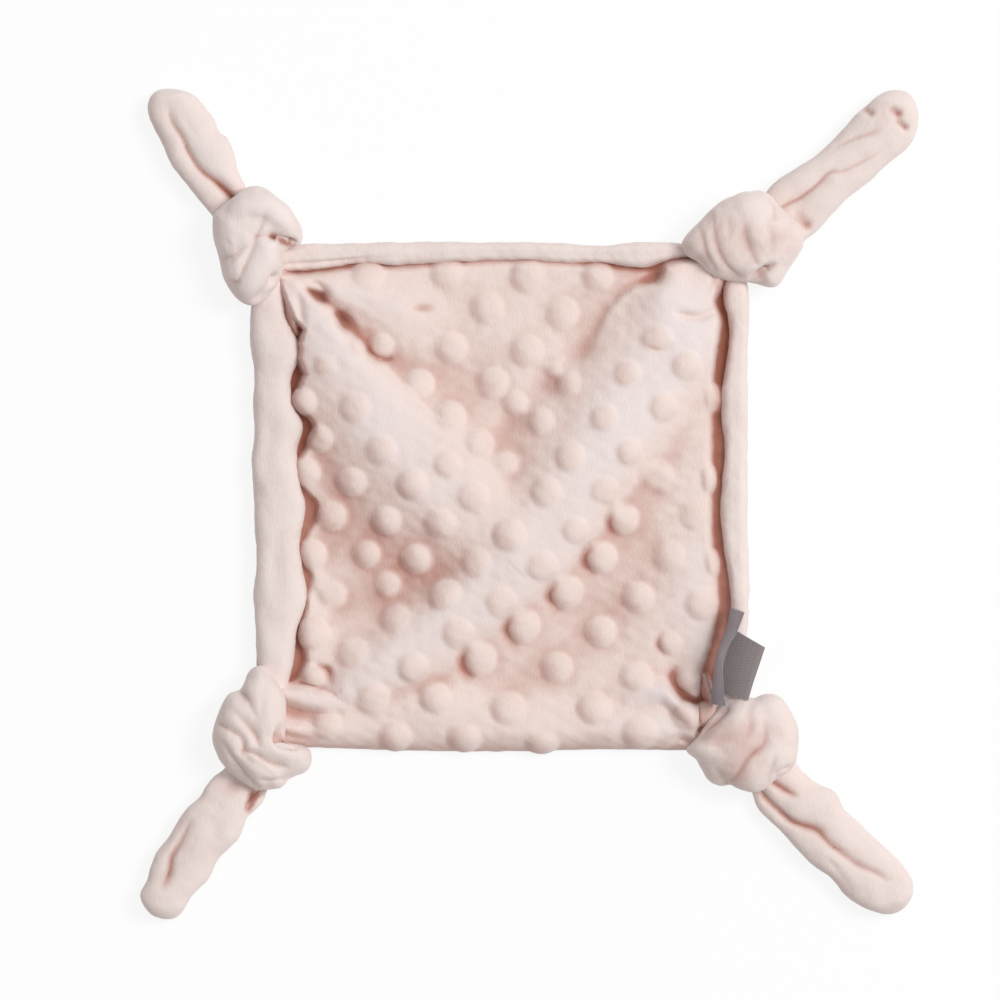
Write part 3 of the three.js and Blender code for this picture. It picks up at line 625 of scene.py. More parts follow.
# Strokes of painted shade where the amount is above zero, and of painted highlight where it is below, over
# the plush's holes, bowls and crests: places with an amount, and how far it reaches
painted_light_strokes = [
    ([(320, 420, 0.1), (328, 480, 0.24), (338, 540, 0.36), (375, 556, 0.36), (400, 562, 0.26),
      (430, 576, 0.08), (465, 600, 0)], 15),
    ([(350, 602, 0.22), (376, 596, 0.22)], 6),
    ([(316, 385, 0.15), (324, 430, 0.25), (330, 480, 0.1)], 6),
    ([(610, 320, 0.0), (562, 372, -0.1), (510, 425, -0.16), (492, 470, -0.1)], 9),
    ([(655, 490, 0.1), (640, 560, 0.18), (600, 640, 0.12), (550, 690, 0.1)], 12),
    ([(322, 330, 0.05), (345, 380, 0.0), (370, 420, -0.15), (430, 480, -0.2), (480, 530, -0.15)], 9),
    ([(690, 320, -0.25), (650, 380, -0.32), (610, 440, -0.24), (570, 500, -0.16), (520, 560, -0.1),
      (460, 605, -0.03)], 13),
    ([(480, 728, 0.17), (590, 728, 0.17)], 8),
    ([(692, 560, -0.15), (684, 640, -0.2), (660, 700, -0.15)], 8),
    ([(306, 290, 0.6), (314, 294, 1), (324, 302, 0.8)], 2.6),
    ([(337, 315, 0.5), (345, 322, 0.5), (352, 331, 0)], 1.6),
    ([(299, 298, 0.3), (301, 330, 0.4)], 1.4),
    ([(415, 308, 0.35), (431, 308, 0.35)], 2.2),
    ([(660, 638, 0.1), (658, 646, 0.25), (663, 653, 0.1)], 1.8),
    ([(675, 665, 0.1), (672, 674, 0.4), (673, 685, 0.8), (680, 694, 1.1), (688, 701, 1.2), (698, 704, 1)],
     1.9),
    ([(600, 262, 0.25), (640, 272, 0.35), (672, 262, 0.3)], 4.5),
]

# Inner edges of the rolled margins, and the lower edge, as the photograph shows them
left_lip_px = [(262, 250), (276, 285), (285, 310), (293, 332), (299, 352), (291, 380), (294, 405),
               (302, 427), (296, 452), (299, 485), (306, 508), (300, 540), (302, 562), (306, 597),
               (297, 632), (290, 676), (270, 690), (262, 730)]
top_lip_px = [(250, 275), (286, 273), (326, 268), (369, 262), (393, 264), (439, 262), (525, 259),
              (592, 263), (641, 266), (681, 257), (745, 254)]
right_lip_px = [(723, 250), (723, 300), (729, 323), (723, 373), (721, 472), (721, 538), (727, 588),
                (726, 610), (720, 640), (712, 668), (708, 704), (706, 745)]
lower_edge_px = [(250, 747), (312, 748), (400, 751), (500, 752), (600, 750), (690, 751), (750, 752)]


def lip_at(rows_px, values, along_x):
    """Place of an edge across its run, at places along it, in millimetres."""
    line = curve_mm(rows_px)
    if along_x:
        return np.interp(values, line[:, 0], line[:, 1])
    return np.interp(values, line[::-1, 1], line[::-1, 0])


# How wide the gap beside the left margin is: the row of the photograph, and millimetres,
# less than zero where the cloth presses against the margin
left_gap_mm = [
    (250, -1), (300, -0.5), (318, 0), (330, 2.4), (344, -1.6), (358, -2), (374, 2.8), (388, 1), (400, -1.4),
    (416, 1.6), (430, 3.2), (448, 1.8), (462, -1.6), (484, -1.2), (500, 2), (514, 3.2), (532, 1), (552, -1.2),
    (576, 0.6), (596, -1.6), (616, -0.8), (640, 1), (660, 3), (678, 1.6), (690, 0),
]
# Raised dots: pixel of the centre, and radius and height in millimetres
dots = [
    (368, 275, 6.6, 1.6), (447, 273, 6.6, 1.7), (527, 276, 6.6, 1.7), (598, 276, 6.2, 1.7),
    (487, 307, 6.6, 1.8), (563, 313, 6.6, 1.8), (381, 346, 5.2, 2.0), (452, 348, 6.5, 1.8),
    (527, 351, 6.6, 1.8), (554, 371, 3.5, 0.7), (358, 348, 4.0, 1.0), (420, 383, 6.2, 2.2),
    (493, 383, 6.4, 1.7), (568, 384, 5.2, 1.5), (515, 403, 5.0, 1.4), (540, 421, 5.4, 1.6),
    (627, 374, 5.4, 1.2), (604, 418, 5.6, 1.3), (663, 407, 6.0, 1.5), (686, 366, 6.0, 1.6),
    (715, 398, 6.0, 2.0), (657, 340, 6.4, 1.2), (303, 402, 5.4, 2.0), (355, 408, 6.4, 1.3),
    (451, 415, 6.2, 2.1), (480, 443, 6.0, 1.9), (320, 439, 5.6, 1.6), (381, 450, 6.2, 1.5),
    (447, 464, 5.4, 1.4), (507, 463, 5.2, 1.6), (570, 457, 6.0, 1.4), (629, 452, 5.4, 1.6),
    (658, 475, 6.8, 1.5), (710, 479, 5.8, 2.0), (307, 472, 5.6, 2.0), (351, 482, 6.2, 2.1),
    (412, 484, 6.2, 2.1), (473, 496, 6.2, 1.5), (546, 492, 6.2, 1.5), (604, 490, 5.8, 1.3),
    (332, 516, 6.2, 2.2), (386, 521, 5.8, 2.4), (440, 523, 6.2, 1.9), (509, 535, 6.6, 1.8),
    (575, 530, 5.4, 1.4), (624, 519, 6.4, 2.0), (695, 514, 6.2, 1.1), (312, 554, 6.2, 2.4),
    (367, 554, 5.6, 2.2), (416, 559, 6.2, 2.4), (476, 563, 6.2, 1.3), (542, 566, 6.2, 1.5),
    (601, 557, 6.8, 2.1), (669, 557, 6.2, 1.3), (714, 563, 5.8, 1.8), (334, 595, 5.6, 1.4),
    (388, 584, 5.4, 1.6), (444, 595, 6.6, 2.1), (501, 602, 6.2, 1.4), (566, 592, 7.2, 2.1),
    (638, 597, 6.2, 2.0), (702, 604, 6.6, 1.7), (312, 633, 6.4, 2.4), (395, 618, 6.2, 1.4),
    (458, 633, 6.2, 1.6), (523, 626, 7.2, 2.1), (601, 631, 6.4, 2.2), (669, 643, 4.6, 1.8),
    (352, 652, 6.6, 1.4), (413, 667, 6.2, 1.8), (480, 659, 7.2, 2.0), (557, 667, 6.4, 2.1),
    (637, 676, 6.6, 1.6), (374, 699, 6.8, 2.0), (435, 697, 6.2, 2.2), (508, 708, 7.0, 2.1),
    (594, 708, 6.6, 2.1), (327, 724, 5.8, 1.7), (395, 737, 6.4, 2.0), (464, 738, 6.6, 2.2),
    (542, 744, 6.4, 1.9), (640, 733, 7.0, 1.8), (313, 677, 4.6, 2.4), (689, 679, 4.6, 3.2),
    (705, 690, 4.0, 1.0), (686, 716, 6.6, 1.6), (705, 714, 5.0, 2.0), (325, 365, 4.6, 0.9),
]
# One small dent without a dot: its pixel, depth, reach, and how much it is flattened
dent_px = (422, 308)
dent_mm, dent_reach_mm, dent_flat = 1.6, 4, 1.7

front_edge_px = {"left": 266, "right": 739, "top": 252}
front_step_mm = 0.9
front_left, front_top = spot(front_edge_px["left"], front_edge_px["top"])
front_right, _ = spot(front_edge_px["right"], front_edge_px["top"])
# Level of the cloth between its folds, and where it is tucked in
base_mm = 8.8
tuck_mm = 6.3
# How far from each margin the cloth starts to rise out of its tuck, and where it is up
left_tuck_mm, right_tuck_mm, top_tuck_mm = (0.2, 3.2), (1.8, 5.2), (-0.5, 3.4)
# How the folds, the dots and the pile wave, in height and length
slow_wave_mm, slow_length_mm = 0.5, 42
quick_wave_mm, quick_length_mm = 0.12, 17
pile_wave_mm, pile_length_mm = 0.07, 5
# How a dot swells and rounds off, how much its foot is eased, and the steepest cloth under it
dot_swell, dot_power, dot_ease_mm, steepest = 1.1, 0.75, 0.8, 0.45
# Painted shade where the cloth is tucked in beside the margins, in bowls between the folds and on the sides
# of dots that face away from the key lamp, and the share of a painted highlight or painted shade stroke that
# is lost over a dot
tucked_shade = 0.75
bowl_mm, bowl_near_mm = 22, 4
bowl_depth_mm = 7
bowl_palest, bowl_deepest = -0.6, 0.5
dot_shade = 0.36
pale_lost, deep_lost = 0.7, 0.55
# Level of the lower edge, how far in the cloth rounds over to it, and the grid's rows there
hem_mm = 1.2
hem_round_mm = 7.5
hem_rows = 12
columns = np.linspace(front_left, front_right, int((front_right - front_left) / front_step_mm))
lower_y = lip_at(lower_edge_px, columns, along_x=True)
main_rows = int((front_top - lower_y.mean() - hem_round_mm) / front_step_mm)
main_share = np.linspace(0, 1, main_rows)[:, None]
main_y = front_top + (lower_y + hem_round_mm - front_top) * main_share
turns = (np.arange(hem_rows) + 1)[:, None] / hem_rows * math.pi / 2
hem_y = lower_y + hem_round_mm * (1 - np.sin(turns))
y = np.vstack([main_y, hem_y])
x = np.broadcast_to(columns, y.shape)
plan = np.stack([x, y, np.zeros_like(x)], axis=-1)

# Where folds meet, the cube root of the sum of their cubes lets the higher one win smoothly
fold_sum = np.zeros(x.shape)
for rows_px, edge_px, width_mm in broad_folds:
    fold = fold_height(plan, rows_px, broad_powers) * edge_cut(plan, edge_px, width_mm)
    fold_sum += np.maximum(fold, 0) ** 3
for rows_px in ridges:
    fold_sum += np.maximum(fold_height(plan, rows_px, ridge_powers), 0) ** 3
height = base_mm + np.cbrt(fold_sum)
for rows_px in lips:
    height += fold_height(plan, rows_px, lip_powers)
slow_wave, quick_wave = ripple(plan, slow_length_mm, seed=11), ripple(plan, quick_length_mm, seed=12)
height += slow_wave_mm * slow_wave + quick_wave_mm * quick_wave
gap_rows, gap_widths = np.transpose(left_gap_mm)
inside_left = x - lip_at(left_lip_px, y, along_x=False)
inside_left -= np.interp(middle_px[1] - y * px_per_mm, gap_rows, gap_widths)
inside_right = lip_at(right_lip_px, y, along_x=False) - x
inside_top = lip_at(top_lip_px, x, along_x=True) - y
open_share = smooth_step(*left_tuck_mm, inside_left) * smooth_step(*right_tuck_mm, inside_right)
open_share = open_share * smooth_step(*top_tuck_mm, inside_top)
height = tuck_mm + (height - tuck_mm) * open_share
for rows_px in gathers:
    height = np.maximum(height, fold_height(plan, rows_px, ridge_powers))
for rows_px, half_mm in dips:
    height -= groove_depth(plan, rows_px, half_mm)
height = np.maximum(height, tuck_mm)
drop_share = np.vstack([np.ones_like(main_y), np.cos(turns) * np.ones_like(hem_y)])
height = hem_mm + (height - hem_mm) * drop_share

folded = plan.copy()
folded[..., 2] = height
folded_normals = grid_normals(folded)
folded_normals *= np.sign(folded_normals[..., 2:])
rise = np.zeros(x.shape)
shaded = np.zeros(x.shape)
for px, py, radius_mm, dot_mm in dots:
    cx, cy = spot(px, py)
    dx, dy = x - cx, y - cy
    near = np.hypot(dx, dy)
    row, column = np.unravel_index(np.argmin(near), near.shape)
    way = folded_normals[row, column]
    climb = (way[0] * dx + way[1] * dy) / max(way[2], steepest)
    reach = np.sqrt(dx ** 2 + dy ** 2 + climb ** 2) / radius_mm
    rise = np.maximum(rise, dot_swell * dot_mm * np.clip(1 - reach ** 2, 0, 1) ** dot_power)
    # Painted shade on the side of each dot that faces away from the key lamp
    away = 0.5 + 0.5 * (shade_way[0] * dx + shade_way[1] * dy) / radius_mm
    shaded = np.maximum(shaded, away * smooth_step(1.0, 0.7, reach))
rise = blurred(rise, front_step_mm, dot_ease_mm)
dent_x, dent_y = spot(*dent_px)
dent = np.hypot(x - dent_x, dent_flat * (y - dent_y))
lift = rise - dent_mm * np.exp(-((dent / dent_reach_mm) ** 2))
lift = lift + pile_wave_mm * ripple(folded, pile_length_mm, seed=13)
upper = folded + lift[..., None] * folded_normals
# Painted shade in broad bowls between the folds, and painted highlight on broad rises
around = blurred(upper[..., 2], front_step_mm, bowl_mm)
bowl_shade = (around - blurred(upper[..., 2], front_step_mm, bowl_near_mm)) / bowl_depth_mm
nap_tone_and_painted_shade = np.clip(bowl_shade, bowl_palest, bowl_deepest)
for rows_px, reach_mm in painted_light_strokes:
    nap_tone_and_painted_shade += groove_depth(plan, rows_px, reach_mm)
nap_tone_and_painted_shade *= 1 - np.where(nap_tone_and_painted_shade < 0, pale_lost, deep_lost) * smooth_step(0, 1, rise)
nap_tone_and_painted_shade += dot_shade * shaded + tucked_shade * (1 - open_share)
# Thickness of the plush, the least of it, and at the lower edge
plush_mm, plush_least_mm, hem_plush_mm = 2.0, 0.4, 0.6
lower = upper.copy()
under_face = np.minimum(folded[..., 2] - plush_mm, upper[..., 2] - plush_least_mm)
lower[..., 2] = np.maximum(under_face, hem_mm - hem_plush_mm)
front_cloth, front_patches = cloth_with_corners(
    "front_cloth", upper, lower, dimple_plush, ["front_panel", "lower_rolled_edge"], nap_tone_and_painted_shade
)

# Rolled margins: the back velour turned up over the seam on the left, top and right, as a
# soft roll of cloth. Each is sewn along its inner side and runs into a knot at both ends.


def ring_faces(count, sides, first=0):
    """Numbers of the points of a tube of rings, from a first one, its faces and its ends."""
    index = first + np.arange(count * sides).reshape(count, sides)
    across = np.roll(index, -1, axis=1)
    quads = np.stack([index[:-1], across[:-1], across[1:], index[1:]], axis=-1).reshape(-1, 4)
    return index, quads.tolist(), [index[0][::-1].tolist(), index[-1].tolist()]


def rounded_ring(sides, power):
    """Sideways and upward shares round a ring, which is squarer with a smaller power."""
    turn = np.arange(sides) / sides * 2 * math.pi
    return [np.sign(wave) * np.abs(wave) ** power for wave in (np.cos(turn), np.sin(turn))]


def facing_up(normals):
    """1 where a surface faces up, 0 where it stands upright or faces down."""
    return smooth_step(0.1, 0.45, normals[..., 2])


def crease_depth(points, rows_px, half_mm):
    """Depth of a sharp crease with round shoulders along a line of places and depths."""
    distance, _, rest = nearest_on(curve_mm(rows_px), points)
    return rest[..., 0] * np.exp(-distance / half_mm)


def pressed(points, normals, creases, hollows=()):
    """Presses creases and soft hollows into a shape from above: lines with half widths."""
    depth = np.zeros(points.shape[:-1])
    for rows_px, half_mm in creases:
        depth = np.maximum(depth, crease_depth(points, rows_px, half_mm))
    for rows_px, half_mm in hollows:
        depth += groove_depth(points, rows_px, half_mm)
    depth *= facing_up(normals)
    return points - depth[..., None] * normals


# The lowest level of the rolls, the step between their rings, the sides of these and how
# square they are, and how far long swells, shorter lumps and the grain stand out
under_roll_mm = 0.4
roll_step_mm, roll_sides, roll_power = 0.9, 44, 0.8
roll_swell_mm, roll_lump_mm, roll_grain_mm = 0.5, 0.15, 0.06


def roll_rings(outer_px, inner_px, height_mm, along_x, creases, seed):
    """Rings of a rolled margin between its outer and inner edge: their points, normals and painted shade, and
    1, or -1 where the rings turn the other way and their normals were flipped."""
    outer, inner = curve_mm(outer_px), curve_mm(inner_px)
    run = 0 if along_x else 1
    start, stop = outer[0, run], outer[-1, run]
    along = np.linspace(start, stop, int(abs(stop - start) / roll_step_mm))
    order = 1 if stop > start else -1
    outer_at = np.interp(along * order, outer[:, run] * order, outer[:, 1 - run])
    inner_at = np.interp(along * order, inner[:, run] * order, inner[:, 1 - run])
    across, up = rounded_ring(roll_sides, roll_power)
    middle, half = (outer_at + inner_at) / 2, (inner_at - outer_at) / 2
    side = middle[:, None] + half[:, None] * across
    level = np.maximum(height_mm / 2 * (1 + up), under_roll_mm)
    points = np.zeros(side.shape + (3,))
    points[..., run] = along[:, None]
    points[..., 1 - run] = side
    points[..., 2] = level
    normals = grid_normals(points, wrapped=True)
    outside = ((normals[..., 2] * (points[..., 2] - height_mm / 2)).sum() > 0) * 2 - 1
    normals *= outside
    swell = roll_swell_mm * ripple(points, length_mm=26, seed=seed)
    swell += roll_lump_mm * ripple(points, length_mm=9, seed=seed + 1)
    swell *= smooth_step(0.5, 4, points[..., 2])
    swell += roll_grain_mm * ripple(points, length_mm=3, seed=seed + 2)
    points = points + swell[..., None] * normals
    points = pressed(points, normals, creases=(), hollows=creases)
    points[..., 2] = np.maximum(points[..., 2], under_roll_mm)
    normals = grid_normals(points, wrapped=True) * outside
    # Painted shade in the roll's grooves and hollows: how far each point lies below its surroundings
    hollows = grid_hollows(points, normals, rounds=10, depth_mm=1.2, wrapped=True)
    return points, normals, hollows, outside


def add_roll(name, node, halves, rings):
    """Two halves of a rolled margin, split at its middle, both lying still."""
    *grids, outside = rings
    middle = len(grids[0]) // 2
    for corner_name, part in zip(halves, (slice(0, middle + 1), slice(middle, None))):
        points, normals, hollows = (grid[part, ::outside] for grid in grids)
        _, quads, ends = ring_faces(*points.shape[:2])
        piece = add_piece(
            f"{name}_{corner_name}", points.reshape(-1, 3), quads + ends, velour, None,
            normals.reshape(-1, 3), hollows.ravel(),
        )
        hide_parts(node)
        bend_at(piece)


left_outer_px = [(262, 718), (258, 665), (254, 600), (255, 540), (252, 480), (253, 420), (252, 360),
                 (251, 307), (256, 262)]
left_inner_px = [(286, 718), (290, 676), (297, 632), (306, 597), (302, 562), (300, 540), (306, 508),
                 (299, 485), (296, 452), (302, 427), (294, 405), (291, 380), (299, 352), (293, 332),
                 (285, 310), (283, 262)]
left_creases = [
    ([(262, 500, 0), (270, 440, 0.7), (266, 380, 0)], 3.0),
    ([(282, 620, 0), (276, 560, 0.8), (284, 520, 0)], 2.5),
]
left_rings = roll_rings(
    left_outer_px, left_inner_px, height_mm=12.6, along_x=False, creases=left_creases, seed=21
)
add_roll("left_roll", "left_rolled_edge", ("lower_left", "upper_left"), left_rings)
top_outer_px = [(262, 249), (282, 245), (330, 243), (400, 242), (500, 242), (600, 243), (681, 243),
                (735, 244)]
top_inner_px = [(262, 275), (286, 273), (326, 268), (369, 263), (393, 264), (439, 262), (525, 260),
                (592, 263), (641, 266), (681, 258), (735, 256)]
top_creases = [
    ([(278, 265, 0.9), (330, 262, 1.0), (385, 257, 0.4), (420, 256, 0)], 1.0),
    ([(420, 254, 0), (520, 254, 0.4), (620, 256, 0.4), (690, 251, 0)], 1.4),
]
top_rings = roll_rings(
    top_outer_px, top_inner_px, height_mm=10.6, along_x=True, creases=top_creases, seed=31
)
add_roll("top_roll", "top_rolled_edge", ("upper_left", "upper_right"), top_rings)
right_outer_px = [(746, 742), (747, 690), (748, 620), (749, 540), (748, 470), (750, 400), (748, 330),
                  (748, 290), (744, 262)]
right_inner_px = [(712, 742), (714, 704), (718, 668), (726, 640), (732, 610), (731, 588), (723, 538),
                  (723, 472), (725, 373), (731, 323), (725, 300), (724, 262)]
right_creases = [
    ([(738, 600, 0), (736, 570, 0.4), (734, 538, 0.3), (733, 472, 0.3), (735, 400, 0.3), (737, 330, 0.3),
      (735, 290, 0.2)], 2.4),
]
right_rings = roll_rings(
    right_outer_px, right_inner_px, height_mm=11.6, along_x=False, creases=right_creases, seed=41
)
add_roll("right_roll", "right_rolled_edge", ("lower_right", "upper_right"), right_rings)

# Knots: each corner of the two cloths is tied in an overhand knot, pulled fairly tight. The
# velour side shows, in broad strands that cross over and tuck under one another.


def spread(rows_px, count):
    """Points at equal steps along a smooth curve, in plan in millimetres."""
    line = curve_mm(rows_px)
    run = np.concatenate([[0], np.cumsum(np.hypot(*np.diff(line, axis=0).T))])
    at = np.linspace(0, run[-1], count)
    return np.stack([np.interp(at, run, line[:, k]) for k in range(2)], axis=1)


def cushion_rings(outline_px, centre_px, high_mm, sides=80, levels=25, cap_share=0.97, fullness=0.62):
    """Rings of a cushion over an outline, which shrink towards its middle, bottom to top."""
    closed = [*outline_px, outline_px[0]]
    rim = spread(closed, sides + 1)[:-1]
    middle = np.array(spot(*centre_px))
    swing = np.linspace(-1, 1, levels) * math.pi / 2 * cap_share
    rings = []
    for angle in swing:
        share = math.cos(angle) ** fullness
        level = high_mm / 2 * (1 + math.sin(angle))
        plan_ring = middle + (rim - middle) * share
        rings.append(np.column_stack([plan_ring, np.full(sides, level)]))
    return np.array(rings)


def strand_rings(rows, sides=22):
    """Rings of a soft strand through rows of a pixel, a height and two half thicknesses."""
    line = curve_mm(rows)
    centre, half = line[:, :3], line[:, 3:5]
    way = np.gradient(centre, axis=0)
    way /= np.linalg.norm(way, axis=1, keepdims=True)
    side = np.cross(way, [0, 0, 1.0])
    side /= np.linalg.norm(side, axis=1, keepdims=True)
    above = np.cross(side, way)
    rounding = np.radians([80, 62, 42, 20])
    before = [(centre[0] - way[0] * half[0, 0] * math.sin(a), 0, math.cos(a)) for a in rounding]
    within = [(centre[k], k, 1.0) for k in range(len(centre))]
    after = [(centre[-1] + way[-1] * half[-1, 0] * math.sin(a), -1, math.cos(a)) for a in rounding[::-1]]
    turn = np.arange(sides) / sides * 2 * math.pi
    rings = []
    for place, k, scale in [*before, *within, *after]:
        ring = place + scale * (
            np.cos(turn)[:, None] * half[k, 0] * side[k] + np.sin(turn)[:, None] * half[k, 1] * above[k]
        )
        rings.append(ring)
    return np.array(rings)


def joined_shapes(name, shapes, voxel_mm):
    """One closed skin over several ring shapes: points and faces, in millimetres."""
    points, faces = [], []
    for rings in shapes:
        _, quads, ends = ring_faces(*rings.shape[:2], first=len(points))
        faces += quads + ends
        points += rings.reshape(-1, 3).tolist()
    mesh = bpy.data.meshes.new(name)
    mesh.from_pydata((np.array(points) * mm).tolist(), [], faces)
    rough = put_in_scene(name, mesh)
    skin = rough.modifiers.new("skin", "REMESH")
    skin.mode = "VOXEL"
    skin.voxel_size = voxel_mm * mm
    bpy.context.view_layer.update()
    shaped = rough.evaluated_get(bpy.context.evaluated_depsgraph_get()).to_mesh()
    found = np.empty(3 * len(shaped.vertices))
    shaped.vertices.foreach_get("co", found)
    found_faces = [tuple(polygon.vertices) for polygon in shaped.polygons]
    rough.to_mesh_clear()
    bpy.data.objects.remove(rough)
    return found.reshape(-1, 3) / mm, found_faces


def relaxed(points, edges, rounds, share=0.5):
    """Points moved towards the average of their neighbours."""
    starts = np.concatenate([edges[:, 0], edges[:, 1]])
    ends = np.concatenate([edges[:, 1], edges[:, 0]])
    counts = np.bincount(starts, minlength=len(points))[:, None]
    moved = points.copy()
    for _ in range(rounds):
        sums = [np.bincount(starts, weights=moved[ends, k], minlength=len(points)) for k in range(3)]
        moved += share * (np.stack(sums, axis=1) / np.maximum(counts, 1) - moved)
    return moved


def edges_of(faces):
    """Each edge of the faces once."""
    pairs = {tuple(sorted((f[k], f[(k + 1) % len(f)]))) for f in faces for k in range(len(f))}
    return np.array(sorted(pairs))


def normals_of(points, faces):
    """Unit normals at the points of a closed skin of quads and triangles."""
    total = np.zeros_like(points)
    quads = np.array([f if len(f) == 4 else (*f, f[-1]) for f in faces])
    a, b, c, d = (points[quads[:, k]] for k in range(4))
    face_normals = np.cross(c - a, d - b)
    for k in range(4):
        np.add.at(total, quads[:, k], face_normals)
    return total / np.maximum(np.linalg.norm(total, axis=1, keepdims=True), 1e-12)


def soft_piece(name, shapes, creases, hollows, seed, painted_strokes, crease_shade, body=None):
    """Soft cloth form: shapes joined in one skin, eased, creased and slightly uneven. Shade is painted deeper
    in colour where it lies below its surroundings, by a share per millimetre of crease, and in strokes of
    painted shade, or painted highlight where their amount is below zero: lines of places with an amount, and
    how far each reaches."""
    voxel_mm, swell_mm, table_mm = 0.75, 0.25, 0.1
    eased_rounds, calm_rounds, deep_mm = 4, 22, 1.3
    points, faces = joined_shapes(name, shapes, voxel_mm)
    edges = edges_of(faces)
    points = relaxed(points, edges, eased_rounds)
    normals = normals_of(points, faces)
    swell = swell_mm * ripple(points, length_mm=16, seed=seed)
    swell += 0.3 * swell_mm * ripple(points, length_mm=6, seed=seed + 1)
    swell *= smooth_step(0.5, 4, points[:, 2])
    points = points + swell[:, None] * normals
    points = pressed(points, normals, creases, hollows)
    points[:, 2] = np.maximum(points[:, 2], table_mm)
    points = relaxed(points, edges, 1)
    normals = normals_of(points, faces)
    # Painted shade where the skin lies below its surroundings, and painted highlight where it stands above
    # them
    calm = relaxed(points, edges, calm_rounds)
    depths = np.clip(((calm - points) * normals).sum(axis=1) / deep_mm, -1, 1)
    facing = facing_up(normals)
    for rows_px, half_mm in creases:
        depths += crease_shade * crease_depth(points, rows_px, half_mm / 2) * facing
    for rows_px, reach_mm in painted_strokes:
        depths += groove_depth(points, rows_px, reach_mm) * facing
    return add_piece(name, points, faces, velour, body, None, depths)


